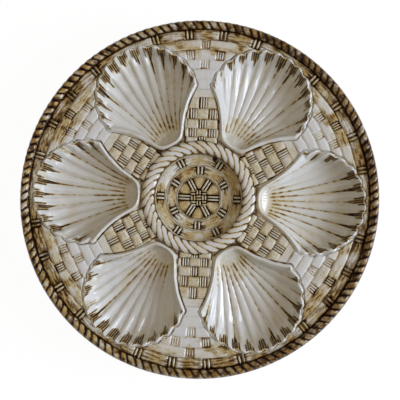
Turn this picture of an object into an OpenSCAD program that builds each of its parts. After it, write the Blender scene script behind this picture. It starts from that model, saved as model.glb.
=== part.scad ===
// Oyster plate in relief-moulded, glazed earthenware, with six fluted scallop wells.
// Millimetres, +Z up. The foot stands on z = 0 and the middle of the plate is the origin.
// The plate is made of the sections that a modeller lutes together before firing.

/* [Plate] */
// Diameter over the rope border of the rim
plate_d = 248; // [240:1:260]
// Thickness of the casting
wall = 4.5; // [3.5:0.25:5.5]
// Height of the ground beside the centre rope, over the floors of the wells
inner_rise = 8.5; // [7:0.5:10]
// Height of the rim's seat over the floors of the wells
outer_rise = 13; // [11:0.5:15]
// Seam left where two curved sections meet
seam = 0.15; // [0.05:0.05:0.25]

/* [Foot] */
// Height of the foot under the wells
foot_h = 4; // [3:0.5:6]
// Diameter of the foot over its outside
foot_d = 146; // [142:1:150]
// Width of the foot's standing face
foot_w = 5; // [4:0.5:6]
// How far the foot widens from its standing face to the wells
foot_flare = 1; // [0.5:0.25:1.5]

/* [Rim rope] */
// Width of the rim rope
rope_w = 6.5; // [5.5:0.25:7.5]
// Rise of the rim rope over its seat
rope_rise = 5; // [4:0.25:6]
// Distance from strand to strand along the rim rope
rope_pitch = 5.75; // [5:0.25:9]
// How far a strand runs along the rim while it crosses the rope
rope_lay = 6.5; // [4:0.5:8]
// Depth of the grooves between the strands
rope_groove = 0.8; // [0.4:0.1:1.2]

/* [Basketwork] */
// Width of the woven band inside the rim rope
band_w = 7; // [6:0.5:8]
// Thickness of the woven ground under the splints
weave_base = 0.8; // [0.5:0.1:1.2]
// Rise of a splint over the woven ground
splint_rise = 1; // [0.6:0.1:1.4]
// Rise of a binder over the woven ground
binder_rise = 1.5; // [1:0.1:2]
// Groove between two splints
splint_gap = 0.6; // [0.4:0.1:1]
// Width of one bar of a binder
bar_w = 1.3; // [1:0.1:1.6]
// Distance from bar to bar in a binder
bar_pitch = 2.3; // [2:0.1:2.6]
// Distance from binder to binder across the outer panels
binder_step = 21; // [19:1:23]
// Width of a cell of the checker weave
cell_w = 6.5; // [5.5:0.25:7.5]
// Length of a cell of the checker weave
cell_l = 6.2; // [5.5:0.1:7]

/* [Shell wells] */
// Clear distance between the rim rope and the top of a shell
shell_gap = 1.2; // [1:0.1:2]
// Width of the straight edge at the hinge of a shell
hinge_w = 19; // [16:0.5:21]
// Distance from the hinge edge to the ears of a shell, along its middle line
ear_rise = 30.2; // [28:0.5:32]
// Width of the woven neck between the ears of two shells
neck_w = 8.2; // [7:0.2:10]
// How far the sides of a shell bow in
side_bow = 3.1; // [2:0.1:4]
// Rise of a shell's lip over the ground
lip_h = 0.8; // [0.5:0.1:1.2]
// Rise of a flute over its grooves
flute_h = 0.9; // [0.5:0.1:1.3]
// Depth of a scallop in the shell's margin
scallop = 0.8; // [0.4:0.1:1.2]

/* [Centre] */
// Diameter inside the centre rope
centre_d = 61.6; // [58:0.4:64]
// Width of the centre rope
ring_w = 8.8; // [8:0.2:9.6]
// Rise of the centre rope over the ground
ring_rise = 3.4; // [2.6:0.2:4.2]
// Distance from strand to strand along the centre rope
ring_pitch = 6.1; // [5.5:0.1:8]
// How far a strand runs along the centre rope while it crosses it
ring_lay = 7; // [4:0.5:9]
// Depth of the grooves between the strands of the centre rope
ring_groove = 0.7; // [0.4:0.1:1]
// Depth of the sauce well's floor under its edge
centre_depth = 5; // [4:0.25:6]
// How far the sauce well's floor rises towards its wall
bowl_rise = 1.5; // [1:0.25:2]
// Width of each ring of the medallion
medallion_ring_w = 7.1; // [6.5:0.1:7.5]
// Groove between two parts of the medallion
medallion_gap = 0.4; // [0.2:0.1:0.6]
// Width of the knot in the middle
knot_w = 11.5; // [10:0.5:13]

/* [Hidden] */
$fn = 96;

// The shells stand every 60 degrees, the first one at 57 degrees from +X.
wells = 6;
sector = 360 / wells;
first_axis = 57;

// Radii, from the middle out.
ring_in = centre_d / 2;
ring_out = ring_in + ring_w;
cup_r = ring_in + wall;
rim_r = plate_d / 2;
rope_in = rim_r - rope_w;
band_in = rope_in - band_w;

// Heights, from the table up.
floor_z = foot_h + wall;
ground_in_z = floor_z + inner_rise;
ground_out_z = floor_z + outer_rise;
cup_floor_z = ground_in_z - centre_depth;

// Height of the ground at radius r: flat under the centre rope, a cone, then flat under the rim.
function ground(r) = lookup(r, [[ring_out, ground_in_z], [band_in, ground_out_z]]);
function under(r) = ground(r) - wall;

// The shell's own frame has its hinge edge at v = apex_v, its middle line along v and u across.
apex_v = ring_out + seam;
tip_v = rope_in - shell_gap;
ear_v = apex_v + ear_rise;
ear_u = ear_v * tan(sector / 2) - neck_w / 2 / cos(sector / 2);
ear_angle = atan2(ear_u, ear_rise);
// The fan's edge is the circle through both ears and the tip.
fan_v = (pow(tip_v, 2) - pow(ear_u, 2) - pow(ear_v, 2)) / (2 * (tip_v - ear_v));
fan_r = tip_v - fan_v;
function ray(a) = [sin(a), cos(a)];
function reach(a) = (fan_v - apex_v) * cos(a) + sqrt(pow(fan_r, 2) - pow((fan_v - apex_v) * sin(a), 2));

// Flutes leave the middle of the hinge edge every 7.4 degrees, and each takes three columns of the mesh.
flute_step = 7.4;
flute_turn = -2;
column_step = flute_step / 3;
first_column = ceil((column_step / 2 - ear_angle - flute_turn) / column_step);
last_column = floor((ear_angle - column_step / 2 - flute_turn) / column_step);
flute_rise_shares = [0, 1, 0.65];
// A column is its angle, its share of the flute's rise and its share of the scallop's depth.
inner_columns = [
    for (k = [first_column:last_column])
        let (part = (k % 3 + 3) % 3)
        [flute_turn + k * column_step, flute_rise_shares[part], part == 0 ? 1 : 0]
];
columns = concat([[-ear_angle, 0, 0]], inner_columns, [[ear_angle, 0, 0]]);
column_count = len(columns);

// Rows from the hinge edge to the margin: share of the ray, share of the depth, share of the flute's rise.
row_shares = [
    [0.08, 0.25, 0], [0.18, 0.36, 0.1], [0.3, 0.68, 0.3], [0.45, 0.94, 0.5],
    [0.6, 1, 0.7], [0.78, 0.86, 0.9], [0.92, 0.42, 1], [1, 0, 1]
];
row_count = len(row_shares);
// The underside is flat inside these shares of the angle and of the ray.
flat_angle_share = 0.74;
flat_start_share = 0.34;
flat_end_share = 0.84;
// How far the sides of the flat bow in, as a share of their angle.
flat_bow_share = 0.12;

// A point of one side of the shell, from the hinge edge at t = 0 to the ear at t = 1.
function side_point(hand, t) =
    let (rise = ear_v - apex_v, run = ear_u - hinge_w / 2, chord = norm([run, rise]))
    let (bow = side_bow * 4 * t * (1 - t) / chord)
    [hand * (hinge_w / 2 + run * t - rise * bow), apex_v + rise * t + run * bow];

function is_edge(j) = j == 0 || j == column_count - 1;
function margin_reach(c) = reach(c[0]) - scallop * c[2];
function plan_point(j, t) =
    is_edge(j) ? side_point(sign(columns[j][0]), t) : [0, apex_v] + t * margin_reach(columns[j]) * ray(columns[j][0]);
function depth_share(j, row) = row[1] * (1 - pow(abs(columns[j][0]) / ear_angle, 4));
function lip(p) = ground(norm(p)) + lip_h;
function top_z(p, j, row) =
    let (k = depth_share(j, row))
    lip(p) * (1 - k) + floor_z * k + flute_h * columns[j][1] * row[2] * (row[0] == 1 ? 0 : 1);
function top_point(j, row) = let (p = plan_point(j, row[0])) [p.x, p.y, top_z(p, j, row)];

// The outline runs round the shell clockwise, seen from above: left side, margin, right side.
hinge_left = [-hinge_w / 2, apex_v];
hinge_right = [hinge_w / 2, apex_v];
outline = concat(
    [hinge_left],
    [for (i = [0:row_count - 2]) plan_point(0, row_shares[i][0])],
    [for (j = [0:column_count - 1]) plan_point(j, 1)],
    [for (i = [row_count - 2:-1:0]) plan_point(column_count - 1, row_shares[i][0])],
    [hinge_right]
);
outline_count = len(outline);

// The flat of the underside, point for point beside the outline.
function flat_point(a, t) =
    let (angle = a * flat_angle_share * (1 - flat_bow_share * 4 * t * (1 - t)))
    let (share = flat_start_share + (flat_end_share - flat_start_share) * t)
    [0, apex_v] + share * reach(angle) * ray(angle);
flat_outline = concat(
    [flat_point(-ear_angle, 0)],
    [for (i = [0:row_count - 2]) flat_point(-ear_angle, row_shares[i][0])],
    [for (j = [0:column_count - 1]) flat_point(columns[j][0], 1)],
    [for (i = [row_count - 2:-1:0]) flat_point(ear_angle, row_shares[i][0])],
    [flat_point(ear_angle, 0)]
);

// Points of a shell: the rows of its top, the two hinge corners, the lower outline and the flat.
shell_points = concat(
    [for (row = row_shares) for (j = [0:column_count - 1]) top_point(j, row)],
    [for (p = [hinge_left, hinge_right]) [p.x, p.y, lip(p)]],
    [for (p = outline) [p.x, p.y, under(norm(p))]],
    [for (p = flat_outline) [p.x, p.y, foot_h]]
);
left_corner = row_count * column_count;
right_corner = left_corner + 1;
lower_start = left_corner + 2;
flat_start = lower_start + outline_count;
middle_column = floor(column_count / 2);
function top_index(i, j) = i * column_count + j;
// The rim of the top, in the order of the outline.
rim_indices = concat(
    [left_corner],
    [for (i = [0:row_count - 2]) top_index(i, 0)],
    [for (j = [0:column_count - 1]) top_index(row_count - 1, j)],
    [for (i = [row_count - 2:-1:0]) top_index(i, column_count - 1)],
    [right_corner]
);
function next(i) = (i + 1) % outline_count;
top_faces = concat(
    [for (i = [0:row_count - 2]) for (j = [0:column_count - 2])
        [top_index(i, j), top_index(i + 1, j), top_index(i + 1, j + 1)]],
    [for (i = [0:row_count - 2]) for (j = [0:column_count - 2])
        [top_index(i, j), top_index(i + 1, j + 1), top_index(i, j + 1)]],
    [for (j = [0:column_count - 2]) [j < middle_column ? left_corner : right_corner, j, j + 1]],
    [[left_corner, middle_column, right_corner]]
);
side_faces = concat(
    [for (i = [0:outline_count - 1]) [rim_indices[i], lower_start + i, rim_indices[next(i)]]],
    [for (i = [0:outline_count - 1]) [lower_start + i, lower_start + next(i), rim_indices[next(i)]]]
);
under_faces = concat(
    [for (i = [0:outline_count - 1]) [lower_start + i, flat_start + i, lower_start + next(i)]],
    [for (i = [0:outline_count - 1]) [flat_start + i, flat_start + next(i), lower_start + next(i)]],
    [[for (i = [0:outline_count - 1]) flat_start + outline_count - 1 - i]]
);

// A rope laid round a circle on a flat seat: a ridge and a groove for each strand, sheared by the lay.
section_angles = [-20, 0, 45, 90, 135, 180, 200];
section_count = len(section_angles);
function rope_point(mid, w, rise, z, lay, a, j, cut) =
    let (psi = section_angles[j], half = rise / (1 + sin(20)), turn = lay / mid * 180 / PI * (0.5 - psi / 180))
    let (edge = j == 0 || j == section_count - 1, across = w / 2 - (edge ? 0 : cut), up = half - (edge ? 0 : cut))
    let (r = mid + across * cos(psi), z_mid = z + half * sin(20))
    [r * cos(a + turn), r * sin(a + turn), edge ? z : z_mid + up * sin(psi)];
function rope_points(mid, w, rise, z, lay, groove, stations, groove_shares) = [
    for (i = [0:stations - 1]) for (j = [0:section_count - 1])
        rope_point(mid, w, rise, z, lay, 360 / stations * i, j, groove * groove_shares[i % len(groove_shares)])
];
function rope_faces(stations) = [
    for (i = [0:stations - 1]) for (j = [0:section_count - 1])
        let (a = i * section_count, b = (i + 1) % stations * section_count, k = (j + 1) % section_count)
        for (half = [0, 1]) half == 0 ? [a + j, a + k, b + k] : [a + j, b + k, b + j]
];

module place(k, turn = 0) {
    rotate([0, 0, first_axis - 90 + sector * (k - 1) + turn]) children();
}

// A prism through the plate over one shell's outline, in the shell's own frame.
module shell_prism() {
    linear_extrude(ground_out_z + rope_rise) polygon(outline);
}

// The part of its children that lies between radii r0 and r1, within a degrees of the gap's middle
// line (+Y), and outside the shells on both sides.
module in_gap(r0, r1, a) {
    difference() {
        intersection() {
            children();
            rotate([0, 0, 90 - a])
                rotate_extrude(angle = 2 * a)
                    translate([r0, 0]) square([r1 - r0, ground_out_z + rope_rise]);
        }
        for (hand = [-1, 1]) rotate([0, 0, hand * sector / 2]) shell_prism();
    }
}

// A slab of even thickness on the ground, between two radii.
module ground_slab(r0, r1, thick) {
    rotate_extrude()
        polygon([[r0, ground(r0)], [r1, ground(r1)], [r1, ground(r1) + thick], [r0, ground(r0) + thick]]);
}

// Section of a splint or a bar from x0 to x0 + w, over a floor that climbs from z0 to z1: it starts
// halfway up the woven ground, with low edges and a round back.
hump_shares = [[0, 0.3], [0.12, 0.72], [0.32, 0.95], [0.5, 1], [0.68, 0.95], [0.88, 0.72], [1, 0.3]];
function hump(x0, w, z0, z1, rise) = concat(
    [[x0, z0 + weave_base / 2]],
    [for (s = hump_shares) [x0 + w * s[0], z0 + (z1 - z0) * s[0] + weave_base + rise * s[1]]],
    [[x0 + w, z1 + weave_base / 2]]
);

// One arched splint between two radii, from angle a0 to a1 about the gap's middle line.
module arc_splint(r0, r1, a0, a1) {
    rotate([0, 0, 90 + a0])
        rotate_extrude(angle = a1 - a0)
            polygon(hump(r0 + splint_gap / 2, r1 - r0 - splint_gap, ground(r0), ground(r1), splint_rise));
}

// One bar along +X from x0 to x1, over a floor that climbs from z0 to z1.
module bar(x0, x1, z0, z1) {
    translate([0, bar_w / 2, 0])
        rotate([90, 0, 0])
            linear_extrude(bar_w) polygon(hump(x0, x1 - x0, z0, z1, binder_rise));
}

// A binder: short bars side by side, lying along the radius at angle a.
module binder(r0, r1, a, bars) {
    for (i = [0:bars - 1])
        rotate([0, 0, 90 + a + arc_angle((i - (bars - 1) / 2) * bar_pitch, (r0 + r1) / 2)])
            bar(r0 + splint_gap / 2, r1 - splint_gap / 2, ground(r0), ground(r1));
}
binder_bars = 3;
binder_half = bar_pitch * binder_bars / 2;
function arc_angle(length, r) = length / r * 180 / PI;

module plate_body() {
    edge_r = rim_r - rope_w / 3;
    color("#8a6a42")
        difference() {
            rotate_extrude($fn = 180)
                polygon([
                    [cup_r + seam, ground_in_z],
                    [cup_r + seam, under(ring_out)],
                    [ring_out, under(ring_out)],
                    [band_in, under(band_in)],
                    [rope_in, under(band_in)],
                    for (a = [-60:20:0]) [edge_r + wall / 2 * (cos(a) - 1), ground_out_z + wall / 2 * (sin(a) - 1)],
                    [edge_r, ground_out_z],
                    [band_in, ground_out_z],
                    [ring_out, ground_in_z]
                ]);
            for (k = [1:wells]) place(k) shell_prism();
        }
}

// Distance of a point of the shell's frame from the middle line of the next gap.
function gap_distance(p) = abs(p.y * sin(sector / 2) - abs(p.x) * cos(sector / 2));
side_table = [for (row = row_shares) let (p = side_point(1, row[0])) [norm(p), gap_distance(p)]];
// Where the edge of the underside's flat crosses the circle of radius r.
function flat_crossing(r) =
    let (a = ear_angle * flat_angle_share)
    [0, apex_v] + (sqrt(pow(r, 2) - pow(apex_v * sin(a), 2)) - apex_v * cos(a)) * ray(a);

module foot_ring() {
    r = foot_d / 2;
    top_half = lookup(r, side_table) - seam;
    low_half = gap_distance(flat_crossing(r)) - seam;
    r_in = r - foot_w;
    high = under(r) + foot_flare;
    function rise_half(z) = low_half + (top_half - low_half) * (z - foot_h) / (under(r) - foot_h);
    color("#d9c7a6")
        difference() {
            rotate_extrude($fn = 180)
                polygon([
                    [r_in + foot_flare / 2, 0], [r - foot_flare / 2, 0],
                    [r, foot_flare], [r, under(r)], [r_in, under(r_in)], [r_in, foot_flare]
                ]);
            // Everything over the wells' undersides, but for a rise in each gap.
            difference() {
                translate([0, 0, foot_h]) cylinder(h = ground_out_z, r = rim_r);
                for (k = [1:wells])
                    place(k, sector / 2)
                        translate([0, r_in - foot_w, 0])
                            rotate([90, 0, 180])
                                linear_extrude(foot_w * 3)
                                    polygon([
                                        [-rise_half(0), 0], [rise_half(0), 0],
                                        [rise_half(high), high], [-rise_half(high), high]
                                    ]);
            }
        }
}

module rim_rope() {
    mid = rim_r - rope_w / 2;
    strands = round(2 * PI * mid / rope_pitch);
    color("#5a3f22")
        polyhedron(
            rope_points(mid, rope_w, rope_rise, ground_out_z, rope_lay, rope_groove, strands * 2, [0, 1]),
            rope_faces(strands * 2)
        );
}

// The rim band carries five binders to a sector, and the one on the shell's middle line is hidden by it.
band_binders = 5;
module rim_weave() {
    step = sector / band_binders;
    half = arc_angle(binder_half, (band_in + rope_in) / 2);
    outer = rope_in - seam;
    color("#6b4a27")
        difference() {
            union() {
                ground_slab(band_in, outer, weave_base);
                for (k = [1:wells]) place(k, sector / 2) {
                    for (i = [-1.5, -0.5, 0.5, 1.5]) binder(band_in, outer, i * step, binder_bars);
                    for (i = [-2:2]) arc_splint(band_in, outer, (i - 0.5) * step + half, (i + 0.5) * step - half);
                }
            }
            for (k = [1:wells]) place(k) shell_prism();
        }
}

// Places of the binders in each row of an outer panel, from the neck out, in shares of binder_step.
panel_row_shares = [[0], [], [0], [-0.5, 0.5], [0]];
neck_r = ear_v * cos(sector / 2) + ear_u * sin(sector / 2) - neck_w / 3;
function clear_angle(r) = acos((pow(r, 2) + pow(fan_v, 2) - pow(fan_r, 2)) / (2 * r * fan_v));

module outer_panel(k) {
    rows = len(panel_row_shares);
    outer = band_in - seam;
    row_w = (outer - neck_r) / rows;
    spread = sector / 2 - clear_angle(outer) + 1;
    color("#c3b28e")
        place(k, -sector / 2)
            in_gap(neck_r, outer, spread)
                union() {
                    ground_slab(neck_r, outer, weave_base);
                    for (i = [0:rows - 1]) {
                        r0 = neck_r + i * row_w;
                        r1 = r0 + row_w;
                        half = arc_angle(binder_half, (r0 + r1) / 2);
                        places = [for (s = panel_row_shares[i]) arc_angle(s * binder_step, (r0 + r1) / 2)];
                        starts = concat([-spread], [for (a = places) a + half]);
                        ends = concat([for (a = places) a - half], [spread]);
                        for (j = [0:len(starts) - 1]) arc_splint(r0, r1, starts[j], ends[j]);
                        for (a = places) binder(r0, r1, a, binder_bars);
                    }
                }
}

// One cell of the checker weave: a splint across the panel, or a binder of two bars along it.
module cell(x, y, is_binder) {
    y0 = y + splint_gap / 2;
    y1 = y + cell_l - splint_gap / 2;
    if (is_binder)
        for (hand = [-1, 1])
            translate([x + hand * bar_pitch / 2, 0, 0])
                rotate([0, 0, 90]) bar(y0, y1, ground(y0), ground(y1));
    else
        translate([x - cell_w / 2 + splint_gap / 2, 0, 0])
            rotate([90, 0, 90])
                linear_extrude(cell_w - splint_gap)
                    polygon(hump(y0, y1 - y0, ground(y0), ground(y1), splint_rise));
}

module inner_panel(k) {
    outer = neck_r - seam;
    inner = ring_out + seam;
    spread = sector / 2 - atan2(hinge_w / 2 + splint_gap, apex_v);
    rows = floor((outer - inner) / cell_l);
    reach_cells = ceil(outer * sin(spread) / 2 / cell_w);
    color("#d2c6aa")
        place(k, -sector / 2)
            in_gap(inner, outer, spread)
                union() {
                    ground_slab(inner, outer, weave_base);
                    for (i = [0:rows - 1]) for (j = [-reach_cells:reach_cells])
                        cell(j * cell_w, outer - (i + 1) * cell_l, (i + j + 2 * reach_cells) % 2 == 1);
                }
}

module shell_well(k) {
    color(["#e4e4e8", "#dcdce2", "#e0dcd6"][k % 3])
        place(k) polyhedron(shell_points, concat(top_faces, side_faces, under_faces));
}

module centre_rope() {
    mid = ring_in + ring_w / 2;
    strands = round(2 * PI * mid / ring_pitch);
    color("#ece8de")
        polyhedron(
            rope_points(mid, ring_w, ring_rise, ground_in_z, ring_lay, ring_groove, strands * 3, [0, 0, 1]),
            rope_faces(strands * 3)
        );
}

// Radii of the medallion's rings.
outer_ring_r = ring_in - medallion_gap;
outer_ring_in = outer_ring_r - medallion_ring_w;
inner_ring_r = outer_ring_in - medallion_gap;
inner_ring_in = inner_ring_r - medallion_ring_w;
petals_r = inner_ring_in - medallion_gap;
// Height of the sauce well's floor at radius r.
function cup_floor(r) = lookup(r, [[outer_ring_in, cup_floor_z], [ring_in, cup_floor_z + bowl_rise]]);

module centre_well() {
    color("#b49a6a")
        rotate_extrude($fn = 120)
            polygon([
                [0, cup_floor_z - wall],
                [outer_ring_in, cup_floor_z - wall],
                for (a = [-75:15:0])
                    [cup_r - wall * (1 - cos(a)), under(ring_out) + (wall - bowl_rise) * sin(a)],
                [cup_r, ground_in_z],
                [ring_in, ground_in_z],
                [ring_in, cup_floor(ring_in)],
                [outer_ring_in, cup_floor_z],
                [0, cup_floor_z]
            ]);
}

// Bars that lie along a radius of the medallion, in pairs.
module medallion_bars(r0, r1, turn) {
    for (k = [1:wells]) place(k, 90 + turn)
        for (hand = [-1, 1])
            translate([0, hand * bar_pitch / 2, 0]) bar(r0, r1, cup_floor(r0), cup_floor(r1));
}

// A ring of six splints with a pair of bars between each two.
module woven_ring(r0, r1, turn) {
    half = arc_angle(bar_pitch, (r0 + r1) / 2);
    z0 = cup_floor(r0);
    z1 = cup_floor(r1);
    rotate_extrude() polygon([[r0, z0], [r1, z1], [r1, z1 + weave_base], [r0, z0 + weave_base]]);
    for (k = [1:wells]) place(k, 90 + turn)
        rotate([0, 0, half])
            rotate_extrude(angle = sector - 2 * half)
                polygon(hump(r0 + splint_gap / 2, r1 - r0 - splint_gap, z0, z1, splint_rise));
    medallion_bars(r0 + splint_gap, r1 - splint_gap, turn);
}

module medallion_outer_ring() {
    color("#6e4c28") woven_ring(outer_ring_in, outer_ring_r, 0);
}

module medallion_inner_ring() {
    color("#9a7a4c") woven_ring(inner_ring_in, inner_ring_r, sector / 2);
}

module medallion_petals() {
    petal_start = knot_w / 2 + splint_gap;
    color("#b59b6c")
        difference() {
            union() {
                translate([0, 0, cup_floor_z]) cylinder(h = weave_base, r = petals_r);
                for (k = [1:wells]) place(k, 90)
                    rotate([0, 0, sector / 2 - sector / 3])
                        rotate_extrude(angle = sector * 2 / 3)
                            polygon(hump(petal_start, petals_r - petal_start, cup_floor_z, cup_floor_z, splint_rise));
                medallion_bars(knot_w / 3, petals_r, 0);
            }
            translate([-knot_w / 2, -knot_w / 2, cup_floor_z + weave_base])
                cube([knot_w, knot_w, binder_rise + weave_base]);
        }
}

// Three bands woven over and under three others.
module medallion_knot() {
    bands = 3;
    pitch = knot_w / bands;
    z = cup_floor_z + weave_base;
    color("#c9b283")
        union() {
            translate([-knot_w / 2, -knot_w / 2, z]) cube([knot_w, knot_w, weave_base]);
            for (i = [0:bands - 1]) for (j = [0:bands - 1])
                translate([(i - 1) * pitch, (j - 1) * pitch, 0])
                    rotate([0, 0, (i + j) % 2 * 90])
                        translate([-pitch / 2, 0, 0])
                            rotate([90, 0, 90])
                                linear_extrude(pitch)
                                    polygon(hump(-pitch / 2, pitch, z, z, splint_rise));
        }
}

plate_body();
foot_ring();
rim_rope();
rim_weave();
for (k = [1:wells]) {
    shell_well(k);
    outer_panel(k);
    inner_panel(k);
}
centre_rope();
centre_well();
medallion_outer_ring();
medallion_inner_ring();
medallion_petals();
medallion_knot();
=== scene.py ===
"""Six-well oyster plate in majolica ware: the finish of every section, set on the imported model."""

import itertools
import math

import bmesh
import bpy
import numpy as np
from bpy.props import FloatProperty, FloatVectorProperty, IntProperty, PointerProperty
from bpy.types import Operator, Panel, PropertyGroup
from mathutils import Matrix, Vector


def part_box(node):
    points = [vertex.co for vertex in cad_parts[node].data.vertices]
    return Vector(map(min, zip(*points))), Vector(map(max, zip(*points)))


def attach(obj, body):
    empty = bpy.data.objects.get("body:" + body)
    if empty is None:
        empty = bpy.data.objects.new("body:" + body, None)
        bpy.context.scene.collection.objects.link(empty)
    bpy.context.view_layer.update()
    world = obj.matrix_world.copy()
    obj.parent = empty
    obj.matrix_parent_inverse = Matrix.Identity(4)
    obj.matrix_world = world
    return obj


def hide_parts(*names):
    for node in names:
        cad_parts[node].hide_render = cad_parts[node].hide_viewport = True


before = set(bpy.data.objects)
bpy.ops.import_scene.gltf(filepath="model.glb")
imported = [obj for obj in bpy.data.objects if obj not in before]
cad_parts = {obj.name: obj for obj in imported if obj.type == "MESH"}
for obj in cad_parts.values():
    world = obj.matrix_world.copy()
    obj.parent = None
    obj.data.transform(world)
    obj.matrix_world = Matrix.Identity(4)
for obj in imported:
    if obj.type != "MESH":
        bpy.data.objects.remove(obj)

bl_info = {
    "name": "Oyster Plate",
    "version": (1, 0, 0),
    "blender": (4, 5, 0),
    "location": "View3D > Sidebar > Oyster Plate",
    "description": "Builds a relief-moulded oyster plate in majolica ware",
    "category": "Add Mesh",
}

MM = 0.001
WELLS = 6
SECTOR = math.tau / WELLS
FIRST_AXIS = math.radians(57)


def node_radius(node):
    low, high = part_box(node)
    return (high.x - low.x) / 2


def node_low(node):
    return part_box(node)[0].z


def node_high(node):
    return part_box(node)[1].z


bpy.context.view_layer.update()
RIM_R = node_radius("rim_rope")
RING_OUT = node_radius("centre_rope")
SEAT_OUT = node_low("rim_rope")
SEAT_IN = node_low("centre_rope")
ROPE_TOP = node_high("rim_rope")
RING_TOP = node_high("centre_rope")
FOOT_H = node_low("shell_well_1")
CUP_FLOOR = node_low("medallion_inner_ring")
CUP_R = node_radius("centre_well")
CUP_LOW = node_low("centre_well")
OUTER_RING_R = node_radius("medallion_outer_ring")
INNER_RING_R = node_radius("medallion_inner_ring")


def length(name, description, default):
    return FloatProperty(name=name, description=description, default=default * MM, unit="LENGTH", precision=5)


def how_many(name, description, default, least):
    return IntProperty(name=name, description=description, default=default, min=least)


def shade(name, description, default):
    return FloatVectorProperty(name=name, description=description, default=default, size=3, subtype="COLOR")


def srgb(hex_code):
    """Linear colour of an sRGB hex value."""
    parts = [int(hex_code[i:i + 2], 16) / 255 for i in (1, 3, 5)]
    return tuple(c / 12.92 if c <= 0.04045 else ((c + 0.055) / 1.055) ** 2.4 for c in parts)


class OysterPlateSizes(PropertyGroup):
    """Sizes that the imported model's boxes don't give."""
    wall: length("Wall", "Thickness of the casting", 4.5)
    seam: length("Seam", "Seam between two sections", 0.15)
    rope_width: length("Rim rope", "Width of the rim rope", 6.5)
    rope_lay: length("Rim lay", "How far a strand runs along the rim as it crosses the rope", 6.2)
    rope_strands: how_many("Rim strands", "Strands round the rim", 132, 24)
    ring_width: length("Centre rope", "Width of the centre rope", 8.8)
    ring_lay: length("Centre lay", "How far a strand runs along the centre rope as it crosses it", 13.5)
    ring_strands: how_many("Centre strands", "Strands round the sauce well", 36, 12)
    band_width: length("Rim band", "Width of the woven band inside the rim rope", 7)
    shell_gap: length("Shell gap", "Between the rim rope and the top of a shell", 1.2)
    ear_rise: length("Ear rise", "From the hinge edge to the ears of a shell", 30.2)
    neck_width: length("Neck", "Width of the neck between two shells", 8.2)
    hinge_width: length("Hinge", "Width of the straight edge of a shell", 19)
    side_bow: length("Side bow", "How far the sides of a shell bow in", 3.1)
    lip_rise: length("Lip", "Rise of a shell's lip over the ground", 2.2)
    lip_width: length("Lip width", "From the foot of the lip to its crest", 2.0)
    scallop: length("Scallop", "Depth of a scallop in the margin", 1.5)
    corner: length("Corner", "How round the lip runs past the corners of the hinge", 2.4)
    flute_rise: length("Flute", "Greatest rise of a flute over its groove", 1.7)
    flute_share: FloatProperty(
        name="Flute share", description="Rise of a flute as a share of its width", default=0.16,
    )
    splint_rise: length("Splint", "Rise of a splint over the ground", 1.8)
    bar_width: length("Binder bar", "Width of one bar of a binder", 1.2)
    bar_pitch: length("Binder pitch", "From bar to bar in a binder", 1.65)
    pair_pitch: length("Pair pitch", "From bar to bar in a binder of the rim", 2.9)
    pair_width: length("Pair bar", "Width of one bar of a binder of two bars", 1.65)
    medallion_pitch: length("Medallion pitch", "From bar to bar in a binder of the medallion", 2.6)
    spoke_pitch: length("Spoke pitch", "From bar to bar in a spoke of the star", 2.0)
    spoke_width: length("Spoke bar", "Width of one bar of a spoke", 1.4)
    cell_width: length("Cell width", "Width of a cell of the checker weave", 6.7)
    cell_length: length("Cell length", "Length of the outermost cell of the checker weave", 8.0)
    cell_shrink: length("Cell shrink", "How much shorter each next cell of the checker weave is", 0.7)
    binder_step: length("Binder step", "From binder to binder across an outer panel", 21)
    medallion_gap: length("Medallion gap", "Between two parts of the medallion", 0.4)
    medallion_ring: length("Medallion ring", "Width of each ring of the medallion", 7.1)
    bowl_rise: length("Bowl rise", "Rise of the sauce well's floor towards its wall", 1.5)
    knot_width: length("Knot", "Width of the knot in the middle", 11.5)


class OysterPlateColours(PropertyGroup):
    """Colours of the glazes, the clay and the setting."""
    tin_glaze: shade("Tin glaze", "White ground glaze", srgb("#DFE3E3"))
    ochre: shade("Ochre wash", "What one coat of the brown wash lets through", srgb("#C6A45F"))
    umber: shade("Umber", "What brown glaze pooled in the recesses lets through", srgb("#2E1A09"))
    clay: shade("Clay", "Bare fired clay of the standing face", srgb("#CDB691"))
    clay_dark: shade("Scuffed clay", "Darker patches of the clay", srgb("#A68C66"))
    floor: shade("Floor", "Pale floor", srgb("#F2F2F2"))


def mix(a, b, t):
    return a * (1 - t) + b * t


def smooth(low, high, x):
    t = np.clip((x - low) / (high - low), 0, 1)
    return t * t * (3 - 2 * t)


def softly(x, table, spread):
    """Values from a table of pairs, its corners rounded over the spread."""
    return sum(np.interp(x + spread * step, *zip(*table)) for step in np.linspace(-1, 1, 9)) / 9


def lattice_hash(ix, iy, seed):
    """Whole numbers to even values between 0 and 1, the same on every run."""
    h = (ix.astype(np.int64) * 374761393 + iy.astype(np.int64) * 668265263 + seed * 1274126177) & 0xFFFFFFFF
    h = ((h ^ (h >> 13)) * 1274126177) & 0xFFFFFFFF
    return ((h ^ (h >> 16)) & 0xFFFF) / 0xFFFF


def noise(x, y, scale, seed=0):
    """Smooth noise between -1 and 1 whose lumps are about scale wide."""
    px, py = np.asarray(x) / scale, np.asarray(y) / scale
    ix, iy = np.floor(px), np.floor(py)
    fx, fy = px - ix, py - iy
    fx, fy = fx * fx * (3 - 2 * fx), fy * fy * (3 - 2 * fy)
    low = mix(lattice_hash(ix, iy, seed), lattice_hash(ix + 1, iy, seed), fx)
    high = mix(lattice_hash(ix, iy + 1, seed), lattice_hash(ix + 1, iy + 1, seed), fx)
    return 2 * mix(low, high, fy) - 1


def cloud(x, y, scale, seed):
    """The same noise, between 0 and 1."""
    return 0.5 + 0.5 * noise(x, y, scale, seed)


def pick(i, seed):
    """One steady value between 0 and 1 for each whole number."""
    return lattice_hash(np.asarray(i), np.asarray(i) * 0 + 7, seed)


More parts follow.
